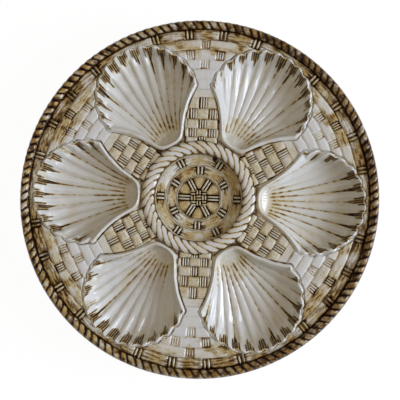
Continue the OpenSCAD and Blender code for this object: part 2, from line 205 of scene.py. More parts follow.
class Ground:
    """The turned dish: its ground is flat under both ropes and a cone between them."""

    def __init__(self, sizes):
        self.wall = sizes.wall
        self.rope_in = RIM_R - sizes.rope_width
        self.band_in = self.rope_in - sizes.band_width

    def top(self, r):
        return np.interp(r, [RING_OUT, self.band_in], [SEAT_IN, SEAT_OUT])

    def under(self, r):
        return self.top(r) - self.wall


class Shell:
    """Plan of a shell in its own frame: hinge edge at v = apex, middle line along v, u across."""
    flute_step = math.radians(7.4)
    flute_turn = math.radians(-2)

    def __init__(self, sizes):
        self.sizes = sizes
        self.ground = Ground(sizes)
        self.apex = RING_OUT + sizes.seam
        self.tip = self.ground.rope_in - sizes.shell_gap
        self.ear_v = self.apex + sizes.ear_rise
        self.ear_u = self.ear_v * math.tan(SECTOR / 2) - sizes.neck_width / 2 / math.cos(SECTOR / 2)
        self.ear_angle = math.atan2(self.ear_u, sizes.ear_rise)
        self.fan_v = (self.tip ** 2 - self.ear_u ** 2 - self.ear_v ** 2) / (2 * (self.tip - self.ear_v))
        self.fan_r = self.tip - self.fan_v

    def ray(self, a, start):
        """How far the margin's circle lies, in direction a, from v = start on the middle line."""
        d = self.fan_v - start
        return d * np.cos(a) + np.sqrt(np.maximum(self.fan_r ** 2 - (d * np.sin(a)) ** 2, 0))

    def reach(self, a):
        return self.ray(a, self.apex)

    def phase(self, a):
        """Whole numbers on the grooves, halves on the ribs."""
        return (a - self.flute_turn) / self.flute_step

    def margin(self, a):
        notch = 1 - np.abs(np.sin(math.pi * self.phase(a)))
        inside = smooth(0, math.radians(4), self.ear_angle - np.abs(a))
        return self.reach(a) - self.sizes.scallop * notch * inside

    def notch(self, a):
        """How far the margin lies inside its circle."""
        return self.reach(a) - self.margin(a)

    def side(self, hand, t):
        half = self.sizes.hinge_width / 2
        rise, run = self.ear_v - self.apex, self.ear_u - half
        bow = self.sizes.side_bow * 4 * t * (1 - t) / math.hypot(rise, run)
        return hand * (half + run * t - rise * bow), self.apex + rise * t + run * bow

    def place(self, s, t):
        """Point of the plan for s from -1 to 1 across and t from 0 at the hinge to 1 at the margin."""
        half = self.sizes.hinge_width / 2
        angle = s * self.ear_angle
        ray = t * self.margin(angle)
        settle = (1 - t) ** 3
        u = ray * np.sin(angle) + half * s * settle
        v = self.apex + ray * np.cos(angle)
        hand = np.sign(s)
        edge = t * self.reach(self.ear_angle)
        side_u, side_v = self.side(hand, t)
        near = smooth(0.72, 1, np.abs(s))
        u = u + near * (side_u - hand * (edge * math.sin(self.ear_angle) + half * settle))
        v = v + near * (side_v - self.apex - edge * math.cos(self.ear_angle))
        return u, v

    def outline(self, count=900):
        """Points round the sides and the margin."""
        t = np.linspace(0, 1, count // 4)
        s = np.linspace(-1, 1, count // 2)
        left, right = self.side(-1.0, t), self.side(1.0, t[::-1])
        angle = s * self.ear_angle
        fan = self.margin(angle) * np.sin(angle), self.apex + self.margin(angle) * np.cos(angle)
        return np.stack([np.concatenate([p[i] for p in (left, fan, right)]) for i in (0, 1)], axis=1)

    def distance(self, u, v):
        """Distance of points from the sides and the margin, for all points inside or out."""
        line, batch = self.outline(), 4000
        flat = np.stack([u.ravel(), v.ravel()], axis=1)
        out = np.empty(len(flat))
        for i in range(0, len(flat), batch):
            away = flat[i:i + batch, None, :] - line[None, :, :]
            out[i:i + batch] = np.sqrt((away ** 2).sum(axis=2).min(axis=1))
        return out.reshape(u.shape)


def turned(points, angle):
    """Points turned about the plate's middle."""
    c, s = math.cos(angle), math.sin(angle)
    out = points.copy()
    out[..., 0] = c * points[..., 0] - s * points[..., 1]
    out[..., 1] = s * points[..., 0] + c * points[..., 1]
    return out


def eased(count, ease):
    """Steps from 0 to 1 that are closer together at both ends."""
    x = np.linspace(0, 1, count)
    return x - ease * np.sin(math.tau * x) / math.tau


def polar_grid(r0, r1, rows, columns):
    """Radii and angles of a ring's points, row by row outwards."""
    turn = np.arange(columns) * math.tau / columns
    return np.meshgrid(np.linspace(r0, r1, rows), turn, indexing="ij")


def stacked(x, y, base, height, sunk=0.0):
    """Top and low points of a relief that stands on a base, with its underside sunk into it."""
    base = np.broadcast_to(base, x.shape)
    return [np.stack([x, y, z], axis=-1) for z in (base + height, base - sunk)]


def washes(ochre, umber):
    return {"ochre": np.clip(ochre, 0, 1), "umber": np.clip(umber, 0, 1)}


def quads(rows, columns, wrap):
    """Corners of the faces between the points of a grid."""
    i, j = np.meshgrid(np.arange(rows - 1), np.arange(columns if wrap else columns - 1), indexing="ij")
    k = (j + 1) % columns
    corners = [i * columns + j, i * columns + k, (i + 1) * columns + k, (i + 1) * columns + j]
    return np.stack(corners, axis=-1).reshape(-1, 4)


def values_of(items, key, width=1, kind=np.float64):
    """One property of many items as an array, with a row for each where it has several numbers."""
    out = np.empty(len(items) * width, dtype=kind)
    items.foreach_get(key, out)
    return out.reshape(-1, width) if width > 1 else out


def put(mesh, name, values, kind="FLOAT"):
    """Gives every point of a mesh its number, or its vector, of a new attribute."""
    key = "vector" if kind == "FLOAT_VECTOR" else "value"
    data = mesh.attributes.new(name, kind, "POINT").data
    data.foreach_set(key, np.asarray(values, dtype=np.float32).reshape(-1))


def cleaned(mesh, weld=0.0):
    """The mesh with its faces turned outwards, and its doubles merged before that where it is welded."""
    work = bmesh.new()
    work.from_mesh(mesh)
    if weld:
        bmesh.ops.remove_doubles(work, verts=work.verts, dist=weld)
        bmesh.ops.dissolve_degenerate(work, edges=work.edges, dist=weld / 2)
    bmesh.ops.recalc_face_normals(work, faces=work.faces)
    work.to_mesh(mesh)
    work.free()
    return mesh


def relief_mesh(name, top, low, fields, wrap=False, step=6):
    """Closed solid between a grid of top points and every few of the same grid's low points."""
    rows, columns = top.shape[:2]
    count = rows * columns
    faces = quads(rows, columns, wrap).tolist()
    down = sorted({*range(0, rows, step), rows - 1})
    along = list(range(0, columns, step)) if wrap else sorted({*range(0, columns, step), columns - 1})
    wide = len(along)
    faces += (quads(len(down), wide, wrap)[:, ::-1] + count).tolist()
    spans = list(zip(along, along[1:] + ([columns] if wrap else []), range(wide)))
    for i, row in ((0, 0), (rows - 1, len(down) - 1)):
        for start, stop, j in spans:
            edge = [i * columns + k % columns for k in range(start, stop + 1)]
            face = edge + [count + row * wide + (j + 1) % wide, count + row * wide + j]
            faces.append(face if i else face[::-1])
    if not wrap:
        for j, column in ((0, 0), (columns - 1, wide - 1)):
            for i, (start, stop) in enumerate(zip(down, down[1:])):
                edge = [k * columns + j for k in range(start, stop + 1)]
                face = edge + [count + (i + 1) * wide + column, count + i * wide + column]
                faces.append(face[::-1] if j else face)
    points = np.concatenate([top.reshape(-1, 3), low[np.ix_(down, along)].reshape(-1, 3)])
    mesh = bpy.data.meshes.new(name)
    mesh.from_pydata(points.tolist(), [], faces)
    for field, values in fields.items():
        put(mesh, field, np.concatenate([values.reshape(-1), np.zeros(len(points) - count)]))
    return cleaned(mesh)


def joined(name, meshes):
    """One mesh from several, with their attributes."""
    work = bmesh.new()
    for mesh in meshes:
        work.from_mesh(mesh)
    out = bpy.data.meshes.new(name)
    work.to_mesh(out)
    work.free()
    for mesh in meshes:
        bpy.data.meshes.remove(mesh)
    return out


# Shares of the bake image for what faces up and for what faces down, and the gap beside each.
UP_SHARE, DOWN_SHARE, LAYOUT_GAP = 0.80, 0.17, 0.01
# Least upward part of the normal of a face that counts as facing up.
LEAST_UP = -0.15


def bake_layout(mesh):
    """A plan layout for baking: what faces up on the left, what faces down small on the right."""
    co = values_of(mesh.vertices, "co", 3)
    low, high = co.min(axis=0), co.max(axis=0)
    size = max(high[0] - low[0], high[1] - low[1])
    corner = values_of(mesh.loops, "vertex_index", kind=np.int32)
    corners = values_of(mesh.polygons, "loop_total", kind=np.int32)
    up = np.repeat(values_of(mesh.polygons, "normal", 3)[:, 2] > LEAST_UP, corners)
    plan = (co[corner, :2] - low[:2]) / size
    uv = LAYOUT_GAP + plan * np.where(up, UP_SHARE, DOWN_SHARE)[:, None]
    uv[~up, 0] += UP_SHARE + LAYOUT_GAP
    mesh.uv_layers.new(name="OFBake").data.foreach_set("uv", uv.astype(np.float32).reshape(-1))


def finish_piece(mesh, name, key, node):
    """Places a finished mesh in the scene, on the plate's body, in the place of its CAD node."""
    mesh.shade_smooth()
    bake_layout(mesh)
    if not mesh.materials:
        mesh.materials.append(material_of(key))
    piece = bpy.data.objects.new(name, mesh)
    bpy.context.scene.collection.objects.link(piece)
    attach(piece, "root")
    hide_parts(node)


def add(tree, kind, *values, **named):
    """Adds a node. Values go to its inputs in order. Of the names, one with a capital letter is an input,
    i with a number is the input of that number, and any other is one of the node's settings."""
    item = tree.nodes.new(kind)
    inputs = dict(enumerate(values))
    for key, value in named.items():
        if key[0].isupper():
            inputs[key.replace("_", " ")] = value
        elif key[0] == "i" and key[1:].isdigit():
            inputs[int(key[1:])] = value
        else:
            setattr(item, key, value)
    for key, value in inputs.items():
        if isinstance(value, bpy.types.NodeSocket):
            tree.links.new(value, item.inputs[key])
        else:
            item.inputs[key].default_value = value
    return item


def rgba(colour):
    return (colour[0], colour[1], colour[2], 1.0)


def new_material(name):
    """A material with no nodes yet."""
    material = bpy.data.materials.new(name)
    material.use_nodes = True
    material.node_tree.nodes.clear()
    return material, material.node_tree


# What mottles the glaze: brush marks, pinholes and the lumps of a coat that was brushed on.
MARK, PINHOLE, LUMP = 3.03 * MM, 0.8 * MM, 2.38 * MM
# What mottles the clay: grit and scuffs. The grit is coarser than sand, so that it shows.
GRIT, SCUFF = 1.11 * MM, 11.1 * MM
# Depth of the lumps in the glaze and of the grit in the clay.
BUMP_DEPTH = 0.15 * MM
# Height on the foot at which the glaze begins, and how far it wanders.
GLAZE_LINE, GLAZE_WANDER = 1.1 * MM, 0.8 * MM
# How many coats of wash a full brush leaves, and how much it breaks up.
COATS, BREAK_UP = 1.6, 4.0


def majolica_glaze(name, colours, roughness, coat):
    """Tin glaze brushed with brown and fired: the wash pools in the recesses, thins over the edges and
    dries glossy, with pinholes. The attributes ochre and umber say how much wash the brush left."""
    material, tree = new_material(name)
    place = add(tree, "ShaderNodeTexCoord").outputs["Object"]
    ochre = add(tree, "ShaderNodeAttribute", attribute_name="ochre").outputs["Fac"]
    umber = add(tree, "ShaderNodeAttribute", attribute_name="umber").outputs["Fac"]
    mottle, speck = (
        add(
            tree, "ShaderNodeTexNoise", Vector=place, Scale=1 / size, Detail=detail, Roughness=0.6,
        ).outputs["Fac"]
        for size, detail in ((MARK, 3.0), (PINHOLE, 2.0))
    )
    both = add(tree, "ShaderNodeMath", speck, 0.8, mottle, operation="MULTIPLY_ADD").outputs[0]
    grain = add(tree, "ShaderNodeMath", both, 0.9, operation="SUBTRACT").outputs[0]

    def broken_up(amount):
        """The wash breaks up most where it is neither thick nor absent."""
        rest = add(tree, "ShaderNodeMath", 1.0, amount, operation="SUBTRACT").outputs[0]
        loose = add(tree, "ShaderNodeMath", amount, rest, operation="MULTIPLY").outputs[0]
        patch = add(tree, "ShaderNodeMath", loose, BREAK_UP, operation="MULTIPLY").outputs[0]
        return add(
            tree, "ShaderNodeMath", patch, grain, amount, operation="MULTIPLY_ADD", use_clamp=True,
        ).outputs[0]

    coats = add(tree, "ShaderNodeMath", broken_up(ochre), COATS, operation="MULTIPLY").outputs[0]
    seen = rgba(colours.tin_glaze)
    for wash, amount in ((colours.ochre, coats), (colours.umber, broken_up(umber))):
        through = add(tree, "ShaderNodeGamma", Color=rgba(wash), Gamma=amount).outputs[0]
        seen = add(
            tree, "ShaderNodeMix", 1.0, i6=seen, i7=through, data_type="RGBA", blend_type="MULTIPLY",
        ).outputs[2]
    # Where the brown is thick it has bitten into the glaze and is dull.
    gleam = add(
        tree, "ShaderNodeMath", umber, -0.38, 0.5, operation="MULTIPLY_ADD", use_clamp=True,
    ).outputs[0]
    lumps = add(tree, "ShaderNodeTexNoise", Vector=place, Scale=1 / LUMP, Detail=2.0).outputs["Fac"]
    height = add(tree, "ShaderNodeMath", speck, 0.35, lumps, operation="MULTIPLY_ADD").outputs[0]
    bump = add(tree, "ShaderNodeBump", Height=height, Strength=0.25, Distance=BUMP_DEPTH).outputs[0]
    surface = add(
        tree, "ShaderNodeBsdfPrincipled", Base_Color=seen, Roughness=roughness, IOR=1.5,
        Specular_IOR_Level=gleam, Coat_Weight=coat, Coat_Roughness=0.08, Normal=bump,
    )
    add(tree, "ShaderNodeOutputMaterial", Surface=surface.outputs[0])
    return material


def bare_clay(name, colours):
    """Biscuit earthenware left unglazed where the plate stood on the kiln shelf: matt, sandy, scuffed."""
    material, tree = new_material(name)
    place = add(tree, "ShaderNodeTexCoord").outputs["Object"]
    grit = add(tree, "ShaderNodeTexNoise", Vector=place, Scale=1 / GRIT, Detail=4.0).outputs["Fac"]
    scuff = add(tree, "ShaderNodeTexNoise", Vector=place, Scale=1 / SCUFF, Detail=3.0).outputs["Fac"]
    height = add(tree, "ShaderNodeSeparateXYZ", Vector=place).outputs["Z"]
    aside = add(tree, "ShaderNodeMath", scuff, 0.5, operation="SUBTRACT").outputs[0]
    edge = add(tree, "ShaderNodeMath", aside, GLAZE_WANDER, height, operation="MULTIPLY_ADD").outputs[0]
    glazed = add(tree, "ShaderNodeMath", edge, GLAZE_LINE, operation="GREATER_THAN").outputs[0]
    colour = rgba(colours.clay)
    for share, over in ((scuff, colours.clay_dark), (glazed, colours.tin_glaze)):
        colour = add(tree, "ShaderNodeMix", share, i6=colour, i7=rgba(over), data_type="RGBA").outputs[2]
    rough = add(tree, "ShaderNodeMath", glazed, -0.65, 0.85, operation="MULTIPLY_ADD").outputs[0]
    bump = add(tree, "ShaderNodeBump", Height=grit, Strength=0.5, Distance=BUMP_DEPTH).outputs[0]
    surface = add(tree, "ShaderNodeBsdfPrincipled", Base_Color=colour, Roughness=rough, Normal=bump)
    add(tree, "ShaderNodeOutputMaterial", Surface=surface.outputs[0])
    return material


CLAY = "Bare fired clay with glazed flanks"
# Name, roughness and clear coat of each glaze.
GLAZES = {
    "shell": ("Tin-glazed earthenware, shells", 0.2, 0.12),
    "weave": ("Washed tin glaze, basketwork", 0.3, 0.0),
    "rope": ("Washed tin glaze, ropes", 0.28, 0.15),
    "back": ("Tin-glazed earthenware, back", 0.22, 0.12),
}


def material_of(key):
    """The materials are made once and shared by the sections."""
    colours = bpy.context.scene.oyster_colours
    if key == "clay":
        return bpy.data.materials.get(CLAY) or bare_clay(CLAY, colours)
    name, roughness, coat = GLAZES[key]
    return bpy.data.materials.get(name) or majolica_glaze(name, colours, roughness, coat)


def shell_axis(k):
    return FIRST_AXIS - math.pi / 2 + SECTOR * (k - 1)


def gap_axis(k):
    """The gap before shell k, turned so that +Y runs out along its middle line."""
    return shell_axis(k) - SECTOR / 2


def from_nearest(a, step, turn=0.0):
    """Angle from the nearest of the places that lie a step apart from the first axis on."""
    return (a - FIRST_AXIS - turn + step / 2) % step - step / 2


def beside(x, y):
    """Points of a gap's own frame in the frame of the shell on their side of it."""
    across, half = np.abs(x), SECTOR / 2
    return across * math.cos(half) - y * math.sin(half), across * math.sin(half) + y * math.cos(half)


# Depth of the bowl along a ray, from the hinge to the margin: share of the ray, share of the depth.
BOWL_SHARES = [
    (0, 0), (0.03, 0.04), (0.12, 0.54), (0.17, 0.6), (0.3, 0.75), (0.45, 0.94),
    (0.58, 1), (0.72, 0.97), (0.85, 0.76), (0.94, 0.42), (1, 0.12),
]
COLUMNS_PER_FLUTE = 30
HATCH_COLUMNS = 5
SHELL_ROWS, SHELL_EASE = 131, 0.7


def flute_grid(shell):
    """Columns from side to side of a shell, so many to a flute, with the grooves on columns."""
    ends = [shell.phase(-shell.ear_angle), shell.phase(shell.ear_angle)]
    first, stop = math.ceil(ends[0] * COLUMNS_PER_FLUTE) + 1, math.floor(ends[1] * COLUMNS_PER_FLUTE)
    inner = np.arange(first, stop) / COLUMNS_PER_FLUTE
    return np.concatenate([ends[:1], inner, ends[1:]]) * shell.flute_step + shell.flute_turn


# How much brown the lines down the flutes hold, shell by shell, counted anticlockwise from the first axis.
LINE_SHARES = (0.5, 0.3, 0.5, 0.5, 0.6, 0.6)
# Width of the bowl's wall at the hinge and further out.
BOWL_WALL = 4.2 * MM, 6.2 * MM
# Where the flutes begin and where they have their full rise, in from a side and in from the margin.
IN_FROM_SIDE = 3.2 * MM, 6.5 * MM
IN_FROM_MARGIN = 0.8 * MM, 3.0 * MM
# Height at which the lip begins, and what its crest loses to its rounding.
LIP_FOOT, LIP_ROUNDING = 0.4 * MM, 0.28 * MM
# Rise and breadth of the waves that the press left in the bowl, and how far in they have their full rise.
WAVE_RISE, WAVE_BREADTH, WAVE_IN = 0.25 * MM, 9 * MM, 6 * MM
# Least thickness of the casting under the relief.
LEAST_WALL = 2.5 * MM
# Half width of a painted line at the hinge and at the margin, and the length of its dashes.
LINE_HALF, DASH = (0.3 * MM, 0.45 * MM), 1.7 * MM
# Distances that keep the dashes of two lines apart and that a line covers from hinge to margin.
LINES_APART, LINE_LENGTH = 9 * MM, 60 * MM


def shell_relief(shell, k):
    """Top points, low points and washes of shell k, in its own frame."""
    sizes, seed = shell.sizes, 10 * k
    angle, t = np.meshgrid(flute_grid(shell), eased(SHELL_ROWS, SHELL_EASE))
    s = angle / shell.ear_angle
    u, v = shell.place(s, t)
    # Distance in from the lip's edge, rounded past the corners of the hinge.
    d, from_hinge = shell.distance(u, v), np.maximum(v - shell.apex, 0)
    d = -sizes.corner * np.log(np.exp(-d / sizes.corner) + np.exp(-from_hinge / sizes.corner))
    d = np.maximum(d, 0)
    r = np.hypot(u, v)
    ground = shell.ground.top(r)
    side_u, side_v = shell.place(np.sign(s), t)
    from_side = (1 - np.abs(s)) * np.hypot(side_u, side_v - v[:, v.shape[1] // 2][:, None])
    wall = smooth(0.9 * sizes.lip_width, mix(*BOWL_WALL, smooth(0.1, 0.4, t)), d)
    bowl = softly(t, BOWL_SHARES, 0.025) * (1 - np.abs(s) ** 3)
    depth = (ground + sizes.lip_rise - FOOT_H - sizes.wall) * wall * (0.22 + 0.78 * bowl)

    # The flutes: broad between the grooves near the hinge, flat-topped towards the margin.
    phase = shell.phase(angle)
    number = np.round(phase)
    groove = phase - number
    arc = t * shell.margin(angle) * shell.flute_step
    broad = np.abs(np.sin(math.pi * groove)) ** 0.85
    narrow = smooth(0.12, 0.46, np.abs(groove))
    outward = smooth(0.55, 0.97, t)
    rib = mix(broad, narrow, outward * 0.8)
    clear = smooth(*IN_FROM_SIDE, from_side)
    dip = 0.45 * outward * clear * (1 - narrow)
    lip = np.sin(0.5 * math.pi * np.clip(d / sizes.lip_width, 0, 1)) ** 1.3
    crest = LIP_FOOT + (sizes.lip_rise - LIP_ROUNDING) * lip * (1 - dip)
    present = smooth(0.145, 0.2, t) * smooth(*IN_FROM_MARGIN, d) * clear
    shift = 0.5 * (pick(number + 140, seed) > 0.5)
    fine_step = groove * COLUMNS_PER_FLUTE / HATCH_COLUMNS + shift
    hatch = 0.5 + 0.5 * np.cos(math.tau * fine_step)
    fine = 0.2 * outward ** 2 * (1 - narrow) * hatch
    rise = np.minimum(sizes.flute_share * arc, sizes.flute_rise)
    flute = rise * (rib - 0.6 - fine) * present
    wave = WAVE_RISE * noise(u, v, WAVE_BREADTH, seed) * smooth(1 * MM, WAVE_IN, d)
    z = ground + crest - depth + flute + wave
    top = np.stack([u, v, z], axis=-1)

    # Below, the middle stands on the foot's level and the rest follows the dish.
    flat = smooth(0, 0.34, t) * (1 - smooth(0.84, 1, t)) * (1 - smooth(0.68, 1, np.abs(s)))
    under = shell.ground.under(r) * (1 - flat) + FOOT_H * flat
    low = np.stack([u, v, np.minimum(under, z - LEAST_WALL)], axis=-1)

    # Broken lines of umber down the grooves.
    luck, other = pick(number + 40, seed), pick(number + 90, seed)
    line = np.exp(-(groove * arc / mix(*LINE_HALF, outward)) ** 2)
    dashes = smooth(-0.35, 0.45, noise(number * LINES_APART, t * LINE_LENGTH, DASH, seed + 3))
    inner = smooth(0.15, 0.19, t) * (1 - smooth(0.26, 0.46, t + 0.24 * (luck - 0.5) - 0.12 * s))
    outer = smooth(0.8, 0.97, t + 0.3 * (other - 0.5))
    middle = LINE_SHARES[k - 1] * smooth(0.35, 0.8, other + 0.25 * s)
    along = np.clip(0.8 * inner + 0.6 * outer + middle, 0, 1) * clear * smooth(0.13, 0.17, t)
    umber = line * along * (0.1 + 0.9 * dashes) * mix(0.35, 0.7, outward)

    # Short strokes drawn in from the margin.
    stroke = np.round(fine_step)
    own = pick(number * 7 + stroke + 300, seed)
    marked = smooth(0.2, 0.4, luck + 0.3 - 0.55 * s ** 2)
    reach = 0.05 + 0.06 * own + 0.11 * other * (1 - smooth(0.02, 0.16, np.abs(groove)))
    brushed = smooth(-0.01, 0.015, t - 1 + reach) * (1 - smooth(0.31, 0.36, np.abs(groove))) * marked
    load = 0.85 + 0.15 * pick(number * 5 + stroke + 500, seed)
    in_bowl = smooth(0.7, 1.1, d / sizes.lip_width)
    umber = np.maximum(umber, brushed * smooth(0.25, 0.65, hatch) * load) * in_bowl

    # Brown that pooled against the outside of the lip.
    wet = smooth(-0.15, 0.4, noise(u, v, 16 * MM, seed + 9))
    wet = wet * smooth(-0.6, 0.2, noise(u, v, 5 * MM, seed + 5))
    at_hinge = 0.45 * (1 - smooth(0.02, 0.06, t))
    outside = (1 - smooth(0.15 * MM, 0.6 * MM, d)) * np.maximum(wet, at_hinge)
    umber = np.maximum(umber, 0.65 * outside)

    # Ochre under the lines and the strokes, with faint stains in the bowl.
    patch = smooth(0, 0.05, t - 0.9) * (1 - smooth(0.26, 0.38, np.abs(groove))) * in_bowl
    patch = patch * (0.25 + 0.75 * marked)
    stain = smooth(0.25, 0.9, noise(u, v, 10 * MM, seed + 8)) * 0.06
    ochre = 0.02 + 0.8 * line ** 0.4 * along * (0.4 + 0.6 * dashes) + 0.14 * patch + 0.4 * brushed * in_bowl
    ochre = ochre + stain + 0.05 * (1 - smooth(0.1, 0.4, t)) + 0.6 * outside
    return top, low, washes(ochre, umber)


class OYSTER_OT_shell_wells(Operator):
    """Six fluted scallop wells"""
    bl_idname = "oyster.shell_wells"
    bl_label = "Shell Wells"

    def execute(self, context):
        shell = Shell(context.scene.oyster_sizes)
        for k in range(1, WELLS + 1):
            top, low, fields = shell_relief(shell, k)
            turn = shell_axis(k)
            mesh = relief_mesh(f"shell_well_{k}", turned(top, turn), turned(low, turn), fields)
            finish_piece(mesh, f"scallop_{k}", "shell", f"shell_well_{k}")
        return {"FINISHED"}


def bar_points(bars):
    """A mesh of loose points that says where each binder bar lies and how large it is."""
    places, turns, sizes = zip(*bars)
    mesh = bpy.data.meshes.new("bar_points")
    mesh.from_pydata(places, [], [])
    put(mesh, "bar_turn", turns, "FLOAT_VECTOR")
    put(mesh, "bar_size", sizes, "FLOAT_VECTOR")
    return mesh


def new_growth(name, sockets):
    """A tree from geometry to geometry, so far empty, and its other inputs: name, kind and default."""
    tree = bpy.data.node_groups.new(name, "GeometryNodeTree")
    face = tree.interface
    face.new_socket("Geometry", in_out="INPUT", socket_type="NodeSocketGeometry")
    for label, kind, value in sockets:
        socket = face.new_socket(label, in_out="INPUT", socket_type="NodeSocket" + kind)
        if value is not None:
            socket.default_value = value
    face.new_socket("Geometry", in_out="OUTPUT", socket_type="NodeSocketGeometry")
    return tree, add(tree, "NodeGroupInput").outputs


def end_growth(tree, points, piece, turn, scale, glaze):
    """Ends a tree with copies of a piece on its points, made real and glazed."""
    copies = add(
        tree, "GeometryNodeInstanceOnPoints", Points=points, Instance=piece, Rotation=turn, Scale=scale,
    ).outputs[0]
    real = add(tree, "GeometryNodeRealizeInstances", Geometry=copies).outputs[0]
    done = add(tree, "GeometryNodeSetMaterial", Geometry=real, Material=glaze).outputs[0]
    add(tree, "NodeGroupOutput", done)


def bar_tree():
    """Geometry nodes that lay a rounded bar, one unit long, wide and high, on every point."""
    tree = bpy.data.node_groups.get("Binder bars")
    if tree:
        return tree
    tree, given = new_growth("Binder bars", (
        ("Rings", "Int", 7), ("Sides", "Int", 8), ("Seed", "Int", 5), ("Unevenness", "Float", 0.08),
        ("Glaze", "Material", None),
    ))
    spine = add(tree, "GeometryNodeCurvePrimitiveLine", (0, -0.5, 0), (0, 0.5, 0)).outputs[0]
    spine = add(tree, "GeometryNodeResampleCurve", Curve=spine, Count=given["Rings"]).outputs[0]
    # A bar is full in the middle and rounded off at both ends.
    girth = add(tree, "GeometryNodeSplineParameter").outputs["Factor"]
    for operation, *numbers in (
        ("MULTIPLY_ADD", 2.0, -1.0), ("ABSOLUTE",), ("POWER", 5.0), ("MULTIPLY_ADD", -1.0, 1.02),
        ("POWER", 0.5),
    ):
        girth = add(tree, "ShaderNodeMath", girth, *numbers, operation=operation).outputs[0]
    ring = add(tree, "GeometryNodeCurvePrimitiveCircle", Resolution=given["Sides"], Radius=0.5).outputs[0]
    bar = add(
        tree, "GeometryNodeCurveToMesh", Curve=spine, Profile_Curve=ring, Scale=girth, Fill_Caps=True,
    ).outputs[0]
    turn, size = (
        add(tree, "GeometryNodeInputNamedAttribute", data_type="FLOAT_VECTOR", Name=name).outputs[0]
        for name in ("bar_turn", "bar_size")
    )
    low, high = (
        add(tree, "ShaderNodeMath", 1.0, given["Unevenness"], operation=operation).outputs[0]
        for operation in ("SUBTRACT", "ADD")
    )
    jitter = add(
        tree, "FunctionNodeRandomValue", data_type="FLOAT", i2=low, i3=high, Seed=given["Seed"],
    ).outputs[1]
    scale = add(tree, "ShaderNodeVectorMath", size, operation="SCALE", Scale=jitter).outputs[0]
    end_growth(tree, given["Geometry"], bar, turn, scale, given["Glaze"])
    return tree


def grown(mesh, tree, inputs):
    """The plain mesh that a tree makes of a mesh."""
    mesh.materials.append(inputs["Glaze"])
    carrier = bpy.data.objects.new("carrier", mesh)
    bpy.context.scene.collection.objects.link(carrier)
    modifier = carrier.modifiers.new("Growth", "NODES")
    modifier.node_group = tree
    for item in tree.interface.items_tree:
        if item.in_out == "INPUT" and item.name in inputs:
            modifier[item.identifier] = inputs[item.name]
    depsgraph = bpy.context.evaluated_depsgraph_get()
    ready = carrier.evaluated_get(depsgraph)
    made = bpy.data.meshes.new_from_object(ready, preserve_all_data_layers=True, depsgraph=depsgraph)
    bpy.data.objects.remove(carrier)
    bpy.data.meshes.remove(mesh)
    return made


def paint(mesh, ochre, umber):
    """Gives a mesh its washes, each of them a number or a rule of a point's place."""
    for name in [a.name for a in mesh.attributes if a.name.startswith("bar_")]:
        mesh.attributes.remove(mesh.attributes[name])
    co = values_of(mesh.vertices, "co", 3)
    for name, rule in (("ochre", ochre), ("umber", umber)):
        values = rule(*co.T) if callable(rule) else np.full(len(co), rule)
        put(mesh, name, np.clip(values, 0, 1))
    return mesh


def bars_mesh(bars, ochre, umber):
    """Binder bars with their washes."""
    return paint(grown(bar_points(bars), bar_tree(), {"Glaze": material_of("weave")}), ochre, umber)


def radial_bar(ends, floor, angle, width, height, side=0.0, lift=0.22):
    """A bar along the radius at angle, or beside it, over a floor that climbs from end to end.
    Its middle lies over the floor by a share of its height."""
    (r0, r1), (z0, z1) = ends, floor
    r, tilt = (r0 + r1) / 2, math.atan2(z1 - z0, r1 - r0)
    c, s = math.cos(angle), math.sin(angle)
    place = (r * c - side * s, r * s + side * c, (z0 + z1) / 2 + height * lift)
    return place, (tilt, 0, angle - math.pi / 2), (width, r1 - r0, height)


def turned_bars(bars, angle):
    """Bars turned about the plate's middle."""
    spin = Matrix.Rotation(angle, 3, "Z")
    return [
        (tuple(spin @ Vector(place)), (tilt, roll, turn + angle), size)
        for place, (tilt, roll, turn), size in bars
    ]


def woven(name, relief, bars, ochre, umber, turn=0.0, wrap=False):
    """A relief of splints and the binder bars that cross it, turned to its place."""
    top, low, fields = relief
    ground = relief_mesh("ground", turned(top, turn), turned(low, turn), fields, wrap)
    return joined(name, [ground, bars_mesh(turned_bars(bars, turn), ochre, umber)])


def sides_of(floor, rise, low, high):
    """Rule that is one down a bar's sides and nought at its top, between two shares of a splint's rise."""
    return lambda x, y, z: 1 - smooth(low, high, (z - floor(np.hypot(x, y))) / rise)


def splint_back(q):
    """Height of a splint across its width, q from 0 to 1."""
    return np.clip(1 - np.abs(2 * q - 1) ** 3.2, 0, 1) ** 0.8


def straw(along, q, seed):
    """Fine fibres that run along a splint."""
    coarse = noise(along, q * 9 * MM, 1.0 * MM, seed)
    return 0.5 * coarse + 0.5 * noise(along * 0.16, q * 9 * MM, 0.55 * MM, seed + 1)


# Binders of an outer panel, row by row outwards, as shares of the binder step from its middle line.
PANEL_ROWS = [[], [], [0], [-0.5, 0.5], [0]]
# How far basketwork runs on under a lip and under a scallop, and how wide it takes to sink there.
UNDER_LIP, UNDER_SCALLOP, SINK = 0.3 * MM, 0.35 * MM, 0.8 * MM
# How deep the underside of basketwork lies in the ground.
SUNK = 0.02 * MM
# From the end of a binder's bar to the edge of its row.
BAR_INSET = 0.5 * MM


